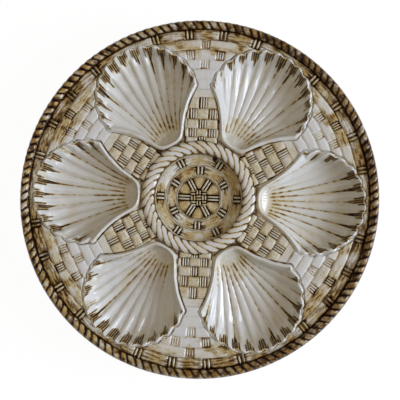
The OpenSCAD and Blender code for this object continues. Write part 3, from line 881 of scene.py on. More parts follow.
class OuterWeave:
    """Arched rows of splints between two shells, in the gap's own frame: +Y out along its middle line."""
    # Points of the field's grid, outwards and across.
    rows, columns = 118, 201

    def __init__(self, shell):
        sizes = shell.sizes
        self.shell, self.sizes, self.ground = shell, sizes, shell.ground
        ears = shell.ear_v * math.cos(SECTOR / 2) + shell.ear_u * math.sin(SECTOR / 2)
        self.low = ears - sizes.neck_width / 3
        self.high = shell.ground.band_in - sizes.seam
        self.row = (self.high - self.low) / len(PANEL_ROWS)

    def edge_angle(self, r):
        """Half angle of the gap at radius r, a little under the shells' lips."""
        shell = self.shell
        c = (r ** 2 + shell.fan_v ** 2 - shell.fan_r ** 2) / (2 * r * shell.fan_v)
        across = np.arccos(np.clip(c, -1, 1))
        ray = np.arctan2(r * np.sin(across), r * np.cos(across) - shell.apex)
        fan = SECTOR / 2 - across + (shell.notch(ray) + UNDER_SCALLOP) / r
        return np.maximum(fan, (self.sizes.neck_width / 2 + UNDER_LIP) / r)

    def binders(self):
        """Row number and angle of every binder."""
        out = []
        for i, shares in enumerate(PANEL_ROWS):
            r = self.low + (i + 0.5) * self.row
            out += [(i, share * self.sizes.binder_step / r) for share in shares]
        return out

    def relief(self, seed):
        """Top points, low points and washes."""
        sizes = self.sizes
        outwards, across = np.linspace(self.low, self.high, self.rows), np.linspace(-1, 1, self.columns)
        r, s = np.meshgrid(outwards, across, indexing="ij")
        a = s * self.edge_angle(r)
        x, y = r * np.sin(a), r * np.cos(a)
        q = (r + 0.35 * MM * noise(x, y * 0.5, 9 * MM, seed) - self.low) / self.row
        i = np.clip(np.floor(q), 0, len(PANEL_ROWS) - 1)
        q = np.clip(q - i, 0, 1)
        near = np.full(r.shape, 1.0)
        for row, angle in self.binders():
            centre = self.low + (row + 0.5) * self.row
            gap = np.abs(a * centre - angle * centre) - sizes.bar_pitch * 1.5
            near = np.where(i == row, np.minimum(near, gap), near)
        lifted = mix(0.42, 1, smooth(-0.2 * MM, 1.3 * MM, near))
        back = (0.4 + 0.6 * splint_back(q)) * lifted
        fibres = straw(a * r, q + i, seed + 2) * 0.12 * MM * back
        # Thick glaze has filled the lower rows.
        filled = mix(0.5, 0.2, smooth(1, 4, i))
        height = sizes.splint_rise * mix(back, 1, filled) + fibres
        fade = smooth(0, SINK, self.shell.distance(*beside(x, y)))
        top, low = stacked(x, y, self.ground.top(r), height * fade, SUNK)

        # The upper rows took most of the brown, in blotches, streaks and drips.
        ragged = r + 2.5 * MM * noise(x, y, 10 * MM, seed + 4)
        upper = smooth(self.high - 2.2 * self.row, self.high - 0.3 * self.row, ragged)
        recess, slit = 1 - smooth(0.1, 0.7, back), (1 - lifted) / 0.58 * fade
        patchy = cloud(x, y, 6 * MM, seed + 6)
        streak = smooth(0.45, 0.85, cloud(a * r * 0.2, (q + i) * 7 * MM, 0.7 * MM, seed + 7))
        blotch = smooth(0.28, 0.8, patchy)
        drip = recess * smooth(0.15, 0.6, noise(x, y, 4 * MM, seed + 9))
        ochre = upper * (0.06 + 0.36 * blotch + 0.3 * streak * blotch) + recess * (0.03 + 0.25 * patchy)
        umber = recess * (0.01 + 0.3 * upper) * patchy + 0.3 * upper * streak * blotch + 0.3 * drip
        umber = umber + slit * (0.06 * blotch + 0.45 * upper ** 2 * (0.3 + 0.7 * blotch))
        return top, low, washes(ochre + 0.05 * slit + 0.5 * drip, umber)

    def bars(self):
        sizes = self.sizes
        out = []
        for row, angle in self.binders():
            r0 = self.low + row * self.row + BAR_INSET
            r1 = r0 + self.row - 2 * BAR_INSET
            floor = float(self.ground.top(r0)), float(self.ground.top(r1))
            rise = sizes.splint_rise * mix(1.0, 1.35, row / 4)
            for j in (-1, 0, 1):
                aside = j * sizes.bar_pitch / ((r0 + r1) / 2) - angle
                if abs(aside) * r0 <= self.edge_angle(r0) * r0 - 2 * BAR_INSET:
                    out.append(radial_bar((r0, r1), floor, math.pi / 2 + aside, sizes.bar_width, rise))
        return out


class OYSTER_OT_outer_panels(Operator):
    """Triangular basketwork between the shells"""
    bl_idname = "oyster.outer_panels"
    bl_label = "Outer Basketwork"

    def execute(self, context):
        weave = OuterWeave(Shell(context.scene.oyster_sizes))
        sides = sides_of(weave.ground.top, weave.sizes.splint_rise, 0.3, 0.85)
        for k in range(1, WELLS + 1):
            def upper(x, y):
                ragged = np.hypot(x, y) + 2 * MM * noise(x, y, 12 * MM, 20 * k + 4)
                return smooth(weave.high - 2.1 * weave.row, weave.high, ragged)

            mesh = woven(
                f"outer_panel_{k}", weave.relief(20 * k), weave.bars(),
                lambda x, y, z: 0.25 * upper(x, y) + 0.06 * sides(x, y, z),
                lambda x, y, z: sides(x, y, z) * (0.01 + 0.4 * upper(x, y) ** 2), turn=gap_axis(k),
            )
            finish_piece(mesh, f"outer_basketwork_{k}", "weave", f"outer_panel_{k}")
        return {"FINISHED"}


class InnerWeave:
    """Spear-shaped field of checker weave beside the centre rope, in the gap's own frame."""
    # Points of the field's grid, outwards and across.
    rows, columns = 121, 97
    # How far the ends of a binder reach under the cells before and after it.
    tuck = 0.6 * MM
    # How far a block spreads over the cells beside it, as a share of their width.
    spread = 0.12
    # Plain ground at the tip of the field, before the first row.
    tip = 5.5 * MM

    def __init__(self, shell):
        self.shell, self.sizes, self.ground = shell, shell.sizes, shell.ground
        self.low = RING_OUT + shell.sizes.seam
        self.high = OuterWeave(shell).low - shell.sizes.seam
        self.first_row = self.high - self.tip

    def row_top(self, i):
        """Where row i starts, counted inwards from the tip."""
        return self.first_row - self.sizes.cell_length * i + self.sizes.cell_shrink * i * (i - 1) / 2

    def row_at(self, y):
        """Row number at y, with its share of the row."""
        full, half_step = self.sizes.cell_length + self.sizes.cell_shrink / 2, self.sizes.cell_shrink / 2
        down = self.first_row - y
        return (full - np.sqrt(np.maximum(full ** 2 - 4 * half_step * down, 0))) / (2 * half_step)

    def edge(self, y):
        """Half width of the gap at y, just under the shells' lips."""
        t = np.linspace(0, 1, 200)
        u, v = self.shell.side(1.0, t)
        out = v * math.cos(SECTOR / 2) + u * math.sin(SECTOR / 2)
        across = v * math.sin(SECTOR / 2) - u * math.cos(SECTOR / 2)
        return np.interp(y, out, across) + UNDER_LIP

    def is_binder(self, row, column):
        return (row + column) % 2 == 0

    def relief(self, seed):
        """Top points, low points and washes."""
        sizes = self.sizes
        outwards, across = np.linspace(self.low, self.high, self.rows), np.linspace(-1, 1, self.columns)
        y, s = np.meshgrid(outwards, across, indexing="ij")
        x = s * self.edge(y)
        start = np.sqrt(np.maximum(self.low ** 2 - x ** 2, 0))
        y = start + (y - self.low) / (self.high - self.low) * (self.high - start)
        x = s * self.edge(y)
        row_at = self.row_at(y + 0.35 * MM * noise(x, y, 6 * MM, seed))
        column_at = (x + 0.3 * MM * noise(x + MM, y, 6 * MM, seed + 1)) / sizes.cell_width + 0.5
        i, j = np.floor(row_at), np.floor(column_at)
        p, q = column_at - j, row_at - i
        binder = self.is_binder(i, j) & (np.abs(p - 0.5) < 0.5 - self.spread)
        p = np.where(self.is_binder(i, j), p - np.sign(p - 0.5), p)
        p = (p + self.spread) / (1 + 2 * self.spread)
        pillow = (0.35 + 0.65 * splint_back(q)) * np.clip(1 - np.abs(2 * p - 1) ** 8, 0, 1) ** 0.6
        fibres = straw(x, q + i, seed + 2) * 0.08 * MM * pillow
        cell = np.where(binder, 0.3 * sizes.splint_rise, pillow * sizes.splint_rise + fibres)
        tip = row_at < 0
        height = np.where(tip, sizes.splint_rise * 0.55, cell)
        inside = smooth(0, SINK, self.shell.distance(*beside(x, y)))
        top, low = stacked(x, y, self.ground.top(np.hypot(x, y)), height * inside, SUNK)

        # Brown lies in the slits beside the binders, round the cells and in drops along the lips.
        recess, slit = (1 - smooth(0.2, 0.85, pillow)) * ~tip, binder & ~tip
        patchy = cloud(x, y, 6 * MM, seed + 6)
        drop = smooth(0.4, 0.75, cloud(x, y, 3 * MM, seed + 9))
        streak = smooth(0.4, 0.9, cloud(x * 0.25, y, 0.6 * MM, seed + 7))
        ochre = 0.07 + 0.12 * patchy + 0.16 * streak * patchy + 0.4 * recess * patchy + 0.55 * slit
        ochre = (ochre + 0.4 * (1 - inside)) * np.where(tip, 0.4, 1)
        umber = 0.15 * recess * patchy + slit * (0.1 + 0.75 * drop) + 0.5 * (1 - inside) * (0.2 + 0.8 * drop)
        return top, low, washes(ochre, umber)

    def bars(self, seed):
        sizes = self.sizes
        out = []
        for i, j, b in itertools.product(range(5), range(-3, 4), (-1, 0, 1)):
            # Most binders sit to one side of their cell and leave a dark slit on the other.
            aside = mix(-0.3 * MM, 0.5 * MM, pick(7 * i + j, seed) > 0.3)
            x = j * sizes.cell_width + b * sizes.bar_pitch + aside
            ring = math.sqrt(self.low ** 2 - min(abs(x), self.low) ** 2)
            y0 = max(self.row_top(i + 1) - self.tuck, ring + 0.2 * MM)
            y1 = self.row_top(i) + self.tuck
            room = float(self.edge((y0 + y1) / 2)) - 0.9 * MM
            if not self.is_binder(i, j) or y1 - y0 < 1.6 * MM or abs(x) > room:
                continue
            z0, z1 = (float(self.ground.top(math.hypot(x, y))) for y in (y0, y1))
            place = (x, (y0 + y1) / 2, (z0 + z1) / 2 + sizes.splint_rise * 0.28)
            size = (sizes.bar_width, y1 - y0, sizes.splint_rise * 1.3)
            out.append((place, (math.atan2(z1 - z0, y1 - y0), 0, 0), size))
        return out


class OYSTER_OT_inner_panels(Operator):
    """Spear-shaped checker weave beside the centre rope"""
    bl_idname = "oyster.inner_panels"
    bl_label = "Inner Basketwork"

    def execute(self, context):
        weave = InnerWeave(Shell(context.scene.oyster_sizes))
        sides = sides_of(weave.ground.top, weave.sizes.splint_rise, 0.3, 0.6)
        for k in range(1, WELLS + 1):
            mesh = woven(
                f"inner_panel_{k}", weave.relief(30 * k + 3), weave.bars(k),
                lambda x, y, z: 0.12 + 0.25 * sides(x, y, z), lambda x, y, z: 0.3 * sides(x, y, z),
                turn=gap_axis(k),
            )
            finish_piece(mesh, f"inner_basketwork_{k}", "weave", f"inner_panel_{k}")
        return {"FINISHED"}


# Pairs of bars that would fit round the band. There is none where a shell's tip lies.
BAND_BINDERS = 30
BAND_STEP = math.tau / BAND_BINDERS
# Points of the band's grid, from edge to edge and round the plate.
BAND_GRID = 24, 1980
# How far the band runs on under the rim rope.
UNDER_ROPE = 0.8 * MM
# Length of a splint that goes with one radian of the band, for its fibres.
BAND_STRAW = 0.11


def rim_relief(shell, outer):
    """Top points, low points and washes of the band, which starts at the ground's edge or under a margin."""
    sizes, ground = shell.sizes, shell.ground
    t, a = polar_grid(0, 1, *BAND_GRID)
    from_axis = from_nearest(a, SECTOR)
    reach = shell.ray(from_axis, 0)
    focus = np.arctan2(reach * np.sin(-from_axis), reach * np.cos(from_axis) - shell.apex)
    start = np.maximum(ground.band_in, reach - shell.notch(focus) - UNDER_LIP)
    r = start + t * (outer - start)
    x, y = r * np.cos(a), r * np.sin(a)
    from_binder = np.where(np.abs(from_axis) < BAND_STEP / 2, BAND_STEP / 2, from_nearest(a, BAND_STEP))
    gap = np.abs(from_binder) * r - sizes.pair_pitch * 0.5 - sizes.pair_width * 0.6
    lifted = smooth(-0.3 * MM, 1.6 * MM, gap)
    q = r - ground.band_in + 0.25 * MM * noise(a * r, r, 8 * MM, 3)
    q = np.clip(q / (outer - ground.band_in), 0, 1)
    fibres = straw(a * BAND_STRAW, q, 8) * 0.22 * MM
    height = sizes.splint_rise * splint_back(0.13 + 0.87 * q) * mix(0.35, 1, lifted) + fibres * lifted
    top, low = stacked(x, y, SEAT_OUT, height)

    # Brown in the recesses, in brush streaks and beside the binders, and a dark line along the rope that is
    # partly brown and partly painted shadow of the rope.
    recess = 1 - smooth(0.1, 0.85, height / sizes.splint_rise)
    streak = smooth(0.35, 0.75, cloud(a * BAND_STRAW * 0.2, q * 9 * MM, 0.75 * MM, 12))
    patchy = cloud(x, y, 7 * MM, 14)
    umber = 0.55 * recess * smooth(0, 0.3, q + 1 - lifted) + 0.5 * streak * (0.05 + 0.95 * patchy)
    umber = umber + np.exp(-np.maximum(gap, 0) / (2.6 * MM)) * (0.1 + 0.6 * streak) * (0.3 + 0.9 * patchy)
    # The dark line along the rope: partly brown glaze, partly painted shadow under the rope.
    umber = umber + 0.8 * smooth(0.74, 0.96, q) * (0.2 + 0.8 * patchy)
    return top, low, washes(0.05 + 0.5 * smooth(0.15, 0.9, patchy) + 0.2 * recess, umber)


def rim_bars(shell, outer):
    """Bars of the band, two to a binder."""
    sizes, ground = shell.sizes, shell.ground
    ends, floor = (ground.band_in + 0.3 * MM, outer - UNDER_ROPE), (SEAT_OUT, SEAT_OUT)
    out = []
    for i, j in itertools.product(range(BAND_BINDERS), (-0.5, 0.5)):
        if i % (BAND_BINDERS // WELLS):
            turn = FIRST_AXIS + i * BAND_STEP + j * sizes.pair_pitch / ground.rope_in
            out.append(radial_bar(ends, floor, turn, sizes.pair_width, sizes.splint_rise * 1.45))
    return out


class OYSTER_OT_rim_weave(Operator):
    """Woven band inside the rim rope"""
    bl_idname = "oyster.rim_weave"
    bl_label = "Rim Basketwork"

    def execute(self, context):
        shell = Shell(context.scene.oyster_sizes)
        outer = shell.ground.rope_in + UNDER_ROPE
        sides = sides_of(shell.ground.top, shell.sizes.splint_rise, 0.15, 0.55)
        mesh = woven(
            "rim_weave", rim_relief(shell, outer), rim_bars(shell, outer),
            lambda x, y, z: 0.3 + 0.25 * noise(x, y, 3 * MM, 15),
            lambda x, y, z: 0.6 * sides(x, y, z) + 0.35 * noise(x, y, 8 * MM, 16), wrap=True,
        )
        finish_piece(mesh, "rim_basketwork", "weave", "rim_weave")
        return {"FINISHED"}


def strand_mesh(mid, width, height, lay, half_width, half_thick, along, around):
    """One strand over a rope's section: it starts low outside, crosses the crest and ends low inside.
    It is bent to the rope's circle, whose radius is mid."""
    t = np.linspace(0, 1, along)
    psi = np.radians(mix(-24, 204, t))
    low = 0.4 * height
    a, b = width / 2 - half_thick, height - low - half_thick
    path = np.stack([a * np.cos(psi), -lay * (t - 0.5), low + b * np.sin(psi)], axis=1)
    ahead = np.gradient(path, axis=0)
    ahead /= np.linalg.norm(ahead, axis=1, keepdims=True)
    out = np.stack([np.cos(psi) / a, 0 * psi, np.sin(psi) / b], axis=1)
    side = np.cross(ahead, out)
    side /= np.linalg.norm(side, axis=1, keepdims=True)
    out = np.cross(side, ahead)
    swell = np.sin(math.pi * (0.07 + 0.86 * t))[:, None, None] ** 0.4
    phi = np.arange(around) * math.tau / around
    c, s = np.cos(phi)[None, :, None], np.sin(phi)[None, :, None]
    ring = half_width * c * side[:, None] + half_thick * s * out[:, None]
    points = path[:, None] + ring * swell
    reach, turn = mid + points[..., 0], points[..., 1] / mid
    points[..., 0], points[..., 1] = reach * np.cos(turn) - mid, reach * np.sin(turn)
    mesh = bpy.data.meshes.new("strand")
    ends = [list(range(around))[::-1], [(along - 1) * around + j for j in range(around)]]
    mesh.from_pydata(points.reshape(-1, 3).tolist(), [], quads(along, around, True).tolist() + ends)
    put(mesh, "bar_flank", np.broadcast_to(np.abs(np.cos(phi)), (along, around)))
    put(mesh, "bar_tail", np.broadcast_to(np.abs(2 * t - 1)[:, None], (along, around)))
    return mesh


def rope_tree():
    """Geometry nodes that lay copies of a strand round a circle."""
    tree = bpy.data.node_groups.get("Laid rope")
    if tree:
        return tree
    tree, given = new_growth("Laid rope", (
        ("Radius", "Float", None), ("Strands", "Int", None), ("Seed", "Int", 3), ("Glaze", "Material", None),
    ))
    circle = add(tree, "GeometryNodeMeshCircle", Vertices=given["Strands"], Radius=given["Radius"]).outputs[0]
    place = add(tree, "GeometryNodeInputPosition").outputs[0]
    parts = add(tree, "ShaderNodeSeparateXYZ", place).outputs
    heading = add(tree, "ShaderNodeMath", parts["Y"], parts["X"], operation="ARCTAN2").outputs[0]
    facing = add(tree, "ShaderNodeCombineXYZ", Z=heading).outputs[0]
    # No two strands are quite as long or as thick.
    least, most = (0.97, 0.88, 0.93), (1.0, 1.1, 1.0)
    jitter = add(
        tree, "FunctionNodeRandomValue", least, most, data_type="FLOAT_VECTOR", Seed=given["Seed"],
    ).outputs[0]
    end_growth(tree, circle, given["Geometry"], facing, jitter, given["Glaze"])
    return tree


# A strand's whole lay over its lay across the rope's width, since its ends reach under.
ROPE_SPAN = 1.27
# Half width and half thickness of a strand, and how many points it has along and around.
RIM_STRAND = 2.35 * MM, 1.5 * MM, 21, 14
RING_STRAND = 2.75 * MM, 1.35 * MM, 33, 22
# Height of the edges of the bed that a rope lies on.
BED_EDGE = 0.6 * MM


def laid_rope(name, box, width, lay, strands, strand, ochre, umber):
    """A rope's mesh over a low bed, in a box of its radius, seat and top.
    Its washes are rules of how near a point is to its strand's flank and tail, and of its place."""
    outer, seat, top = box
    mid, inner, bed_top = outer - width / 2, outer - width, seat + 0.5 * (top - seat)
    one = strand_mesh(mid, width, top - seat, ROPE_SPAN * lay, *strand)
    made = grown(one, rope_tree(), {"Radius": mid, "Strands": strands, "Glaze": material_of("rope")})
    co = values_of(made.vertices, "co", 3)
    co[:, 2] = np.maximum(co[:, 2] + seat, seat)
    made.vertices.foreach_set("co", co.reshape(-1).astype(np.float32))
    bed = revolved("bed", [
        (inner, seat), (outer, seat), (outer, seat + BED_EDGE), (mid + 0.3 * width, bed_top),
        (mid - 0.3 * width, bed_top), (inner, seat + BED_EDGE),
    ], 360)
    near = [
        values_of(made.attributes[key].data, "value", kind=np.float32) for key in ("bar_flank", "bar_tail")
    ]
    paint(made, lambda x, y, z: ochre(*near, x, y), lambda x, y, z: umber(*near, x, y))
    return joined(name, [made, paint(bed, 0.7, 0.7)])


class OYSTER_OT_ropes(Operator):
    """Rope borders of the rim and of the sauce well"""
    bl_idname = "oyster.ropes"
    bl_label = "Ropes"

    def execute(self, context):
        sizes = context.scene.oyster_sizes

        def rim_umber_and_shade(flank, tail, x, y):
            """Brown between the strands, in spots and in broad patches, and painted shade that darkens the
            rope broadly towards the right.
            """
            spots = smooth(0.1, 0.6, noise(x, y, 2.3 * MM, 4)) * smooth(-0.5, 0.7, flank)
            # Broad patches of brown, and painted shade: the second term makes the rope darker towards the
            # right.
            broad = 0.1 * smooth(-0.3, 0.6, noise(x, y, 14 * MM, 6)) + 0.16 * smooth(-0.6, 1, x / RIM_R)
            return 0.8 * smooth(0.7, 0.84, flank) + 0.4 * smooth(0.65, 0.95, tail) + 0.5 * spots + broad

        def ring_ochre(flank, tail, x, y):
            """Ochre between the strands and a little on their ends."""
            return 0.02 + 0.6 * smooth(0.45, 0.72, flank) + 0.2 * tail ** 2 + 0.08 * noise(x, y, 8 * MM, 5)

        rim = laid_rope(
            "rim_rope", (RIM_R, SEAT_OUT, ROPE_TOP), sizes.rope_width, sizes.rope_lay, sizes.rope_strands,
            RIM_STRAND, lambda flank, tail, x, y: 0.36 + 0.48 * noise(x, y, 4 * MM, 3) + 0.2 * flank,
            rim_umber_and_shade,
        )
        finish_piece(rim, "rim_rope_border", "rope", "rim_rope")
        ring = laid_rope(
            "centre_rope", (RING_OUT, SEAT_IN, RING_TOP), sizes.ring_width, sizes.ring_lay,
            sizes.ring_strands, RING_STRAND, ring_ochre,
            lambda flank, tail, x, y: 0.4 * smooth(0.65, 0.75, flank) + 0.1 * smooth(0.8, 1, tail),
        )
        finish_piece(ring, "centre_rope_border", "rope", "centre_rope")
        return {"FINISHED"}


# A drop of brown glaze that ran together beside the centre rope: its place, and where it ends and thins out.
GLAZE_SPOT = 11.5 * MM, 27 * MM
SPOT_RADII = 1.2 * MM, 2.1 * MM
# Length of a splint that goes with one radian of the rings, for its fibres.
RING_STRAW = 0.02
# From the end of a bar to the edge of its ring.
PAIR_INSET = 0.3 * MM


class Medallion:
    """Woven relief on the floor of the sauce well: two rings of splints, petals, spokes and a knot."""
    # Points of the grids, outwards and round.
    ring_grid, petal_grid = (36, 720), (60, 480)
    # The petals' grid leaves this much open in the middle, under the knot.
    eye = 0.05 * MM

    def __init__(self, sizes):
        self.sizes = sizes
        self.outer_in = OUTER_RING_R - sizes.medallion_ring
        self.inner_in = INNER_RING_R - sizes.medallion_ring
        self.petals_r = self.inner_in - sizes.medallion_gap

    def floor(self, r):
        ring_in = OUTER_RING_R + self.sizes.medallion_gap
        return np.interp(r, [self.outer_in, ring_in], [CUP_FLOOR, CUP_FLOOR + self.sizes.bowl_rise])

    def ring(self, r0, r1, turn, seed):
        """Top points, low points and washes of one woven ring."""
        sizes = self.sizes
        r, a = polar_grid(r0, r1, *self.ring_grid)
        x, y = r * np.cos(a), r * np.sin(a)
        gap = np.abs(from_nearest(a, SECTOR, turn)) * (r0 + r1) / 2
        gap = gap - sizes.medallion_pitch / 2 - sizes.pair_width * 0.6
        lifted = smooth(-0.2 * MM, 1.2 * MM, gap)
        q = (r - r0) / (r1 - r0)
        back = splint_back(0.06 + 0.88 * q) * mix(0.3, 1, lifted)
        fillet = smooth(0.74, 0.86, np.abs(2 * q - 1))
        height = sizes.splint_rise * np.maximum(0.1 + 0.9 * back, 0.85 * fillet)
        height = height + 0.14 * MM * straw(a * RING_STRAW, q, seed) * back
        top, low = stacked(x, y, self.floor(r), height)

        # Brown in the recesses, in streaks beside the binders and in one drop. The fillets are wiped.
        recess = (1 - smooth(0.05, 0.4, back) * mix(0.4, 1, lifted)) * (1 - fillet)
        patchy = cloud(x, y, 7 * MM, seed + 1)
        streak = smooth(0.35, 0.8, cloud(a * RING_STRAW * 0.25, q * 8 * MM, 0.7 * MM, seed + 2))
        drop = 1 - smooth(*SPOT_RADII, np.hypot(x - GLAZE_SPOT[0], y - GLAZE_SPOT[1]))
        ochre = mix(0.01 + 0.42 * smooth(0.15, 0.9, patchy) + 0.16 * streak, 0.14, 0.8 * fillet)
        umber = 0.85 * recess + np.exp(-np.maximum(gap, 0) / (2.5 * MM)) * (0.1 + 0.9 * streak) - 0.03
        return top, low, washes(ochre, np.maximum(umber * (1 - 0.95 * fillet), drop))

    def pairs(self, ends, turn, pitch, width):
        """Bars of six binders or spokes, two to each."""
        floor, high = [float(self.floor(r)) for r in ends], self.sizes.splint_rise * 1.3
        return [
            radial_bar(ends, floor, FIRST_AXIS + turn + k * SECTOR, width, high, hand * pitch, 0.35)
            for k, hand in itertools.product(range(WELLS), (-0.5, 0.5))
        ]

    def petals(self, seed):
        """Top points, low points and washes of a disc with six petals between the spokes."""
        sizes, rim = self.sizes, self.petals_r
        r, a = polar_grid(self.eye, rim, *self.petal_grid)
        x, y = r * np.cos(a), r * np.sin(a)
        edge = smooth(rim - 1.0 * MM, rim - 0.6 * MM, r)
        lifted = smooth(1.6 * MM, 3.2 * MM, np.abs(from_nearest(a, SECTOR)) * r)
        lifted = lifted * (1 - smooth(rim - 1.2 * MM, rim - 0.5 * MM, r))
        lifted = lifted * smooth(sizes.knot_width * 0.5, sizes.knot_width * 0.62, r)
        middle = np.abs(from_nearest(a, SECTOR, SECTOR / 2)) * r
        petal = 0.1 + 0.8 * lifted * (1 - 0.25 * (middle / (5 * MM)) ** 2)
        top, low = stacked(x, y, CUP_FLOOR, sizes.splint_rise * np.maximum(petal, 0.85 * edge))

        # Each petal is pale at its core and brown towards the spokes.
        around = smooth(1.8 * MM, 4.4 * MM, np.hypot(middle, 0.55 * (r - 0.8 * rim)))
        ochre = mix(0.26 + 0.25 * cloud(x, y, 6 * MM, seed) + 0.35 * around, 0.16, 0.8 * edge)
        umber = (0.95 * (1 - smooth(0.1, 0.95, lifted)) + 0.22 * around) * (1 - 0.95 * edge)
        return top, low, washes(ochre, umber)

    def knot(self):
        """Bars of three bands woven over and under three others, each band two bars wide."""
        pitch, rise = self.sizes.knot_width / 3, self.sizes.splint_rise
        out = []
        for i, j, hand in itertools.product(range(3), range(3), (-0.25, 0.25)):
            over = (i + j) % 2
            x, y = (i - 1 + hand * over) * pitch, (j - 1 + hand * (1 - over)) * pitch
            turn = 0 if over else math.pi / 2
            size = pitch * 0.34, pitch * 1.02, rise * 1.05
            out.append(((x, y, CUP_FLOOR + rise * 0.62), (0, 0, turn), size))
        return out


class OYSTER_OT_medallion(Operator):
    """Sauce well and its woven medallion"""
    bl_idname = "oyster.medallion"
    bl_label = "Medallion"

    def execute(self, context):
        sizes = context.scene.oyster_sizes
        form = Medallion(sizes)
        sides, knot_sides = (
            sides_of(form.floor, sizes.splint_rise, low, high) for low, high in ((0.3, 0.75), (0.55, 1.0))
        )
        wash = 0.15, lambda x, y, z: 0.85 * sides(x, y, z)
        for name, node, ends, turn, seed in (
            ("medallion_outer_weave", "medallion_outer_ring", (form.outer_in, OUTER_RING_R), 0, 41),
            ("medallion_inner_weave", "medallion_inner_ring", (form.inner_in, INNER_RING_R), SECTOR / 2, 45),
        ):
            inset = ends[0] + PAIR_INSET, ends[1] - PAIR_INSET
            bars = form.pairs(inset, turn, sizes.medallion_pitch, sizes.pair_width)
            mesh = woven(name, form.ring(*ends, turn, seed), bars, *wash, wrap=True)
            finish_piece(mesh, name, "weave", node)
        ends = sizes.knot_width * 0.45, form.petals_r - PAIR_INSET
        spokes = form.pairs(ends, 0, sizes.spoke_pitch, sizes.spoke_width)
        star = woven("medallion_star", form.petals(51), spokes, *wash, wrap=True)
        finish_piece(star, "medallion_star", "weave", "medallion_petals")
        knot = bars_mesh(form.knot(), 0.3, lambda x, y, z: 0.85 * knot_sides(x, y, z))
        finish_piece(knot, "medallion_weave_knot", "weave", "medallion_knot")
        cup = paint(revolved("sauce_well", cup_profile(sizes), 240), 0.45, 0.15)
        finish_piece(cup, "sauce_well", "weave", "centre_well")
        return {"FINISHED"}


# Distance under which two points of a turned piece are one.
WELD = 0.001 * MM


def revolved(name, profile, steps):
    """Closed ring or disc from a profile of (radius, height) points."""
    points, faces = [], []
    count = len(profile)
    for i in range(steps):
        a, here, there = math.tau * i / steps, i * count, (i + 1) % steps * count
        points += [(r * math.cos(a), r * math.sin(a), z) for r, z in profile]
        for j in range(count):
            k = (j + 1) % count
            faces.append((here + j, there + j, there + k, here + k))
    mesh = bpy.data.meshes.new(name)
    mesh.from_pydata(points, [], faces)
    return cleaned(mesh, WELD)


def cup_profile(sizes):
    """Section of the sauce well from the middle of its floor, up its wall and back under."""
    ring_in, outer_in = RING_OUT - sizes.ring_width, OUTER_RING_R - sizes.medallion_ring
    under = SEAT_IN - sizes.wall
    curve = [
        (CUP_R - sizes.wall * (1 - math.cos(a)), under + (under - CUP_LOW) * math.sin(a))
        for a in np.radians(np.linspace(0, -90, 10))
    ]
    return [
        (0, CUP_FLOOR), (outer_in, CUP_FLOOR), (ring_in, CUP_FLOOR + sizes.bowl_rise), (ring_in, SEAT_IN),
        (CUP_R, SEAT_IN), *curve, (outer_in, CUP_LOW), (0, CUP_LOW),
    ]


class OYSTER_OT_dish(Operator):
    """Back of the dish and its foot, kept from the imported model"""
    bl_idname = "oyster.dish"
    bl_label = "Dish and Foot"

    def execute(self, context):
        for node, key in (("plate_body", "back"), ("foot_ring", "clay")):
            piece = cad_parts[node]
            piece.data.materials.clear()
            piece.data.materials.append(material_of(key))
        return {"FINISHED"}


# Name, place, diameter, power in watts and colour of each lamp. They are turned towards the plate.
LAMPS = (
    ("window", (1.28, -0.16, 0.62), 0.8, 19.4, "#E3EBFF"),
    ("room", (-0.1, 0.3, 1.4), 1.2, 2.6, "#FFE9CC"),
)
LAMP_TARGET = (0, 0, 0.01)


def stage_lamp(name, place, size, power, colour):
    data = bpy.data.lights.new(name, "AREA")
    data.shape, data.size, data.energy, data.color = "DISK", size, power, srgb(colour)
    lamp = bpy.data.objects.new(name, data)
    lamp.location = place
    lamp.rotation_mode = "QUATERNION"
    lamp.rotation_quaternion = (Vector(LAMP_TARGET) - Vector(place)).to_track_quat("-Z", "Y")
    bpy.context.scene.collection.objects.link(lamp)


# The photograph's frame is 400 pixels square; the plate's middle and radius in it, in pixels.
FRAME_PX = 400
PLATE_X_PX, PLATE_Y_PX, PLATE_R_PX = 199.75, 199.85, 179.65
CAMERA_LENS = 80.0
CAMERA_TILT = math.radians(5.5)
CAMERA_SIDE = math.radians(-59)


def stage_camera(context):
    """Short telephoto lens over the plate, leaning towards the lower right as the photograph's does."""
    data = bpy.data.cameras.new("camera")
    data.lens = CAMERA_LENS
    data.clip_end = 20
    metres_per_px = RIM_R / PLATE_R_PX
    distance = FRAME_PX * metres_per_px * CAMERA_LENS / data.sensor_width
    lean = math.sin(CAMERA_TILT)
    back = Vector((lean * math.cos(CAMERA_SIDE), lean * math.sin(CAMERA_SIDE), math.cos(CAMERA_TILT)))
    across = Vector((0, 1, 0)).cross(back).normalized()
    up = back.cross(across)
    # A leaning view swells the near side, so the rim's outline has its middle on that side.
    swell = RIM_R ** 2 * lean / distance
    centre = Vector((swell * math.cos(CAMERA_SIDE), swell * math.sin(CAMERA_SIDE), SEAT_OUT))
    right, down = PLATE_X_PX - FRAME_PX / 2, PLATE_Y_PX - FRAME_PX / 2
    centre += (up * down - across * right) * metres_per_px
    camera = bpy.data.objects.new("camera", data)
    camera.rotation_mode = "QUATERNION"
    camera.rotation_quaternion = Matrix((across, up, back)).transposed().to_quaternion()
    camera.location = centre + back * distance
    context.scene.collection.objects.link(camera)
    context.scene.camera = camera


def seen_directly(tree):
    """One for what the camera sees straight, mirrored or through something clear."""
    path = add(tree, "ShaderNodeLightPath").outputs
    seen = path["Is Camera Ray"]
    for ray in ("Is Glossy Ray", "Is Transmission Ray"):
        seen = add(tree, "ShaderNodeMath", seen, path[ray], operation="MAXIMUM").outputs[0]
    return seen


# How bright the floor glows to the camera, and how much of it is that glow and not lit floor.
FLOOR_GLOW, FLOOR_SHARE = 1.05, 0.91
# Colour and strength of the light from all round. Below this rise, the camera sees white in its place.
SOFT_LIGHT, SOFT_STRENGTH, WHITE_BELOW = "#FFEBD2", 0.245, 0.2


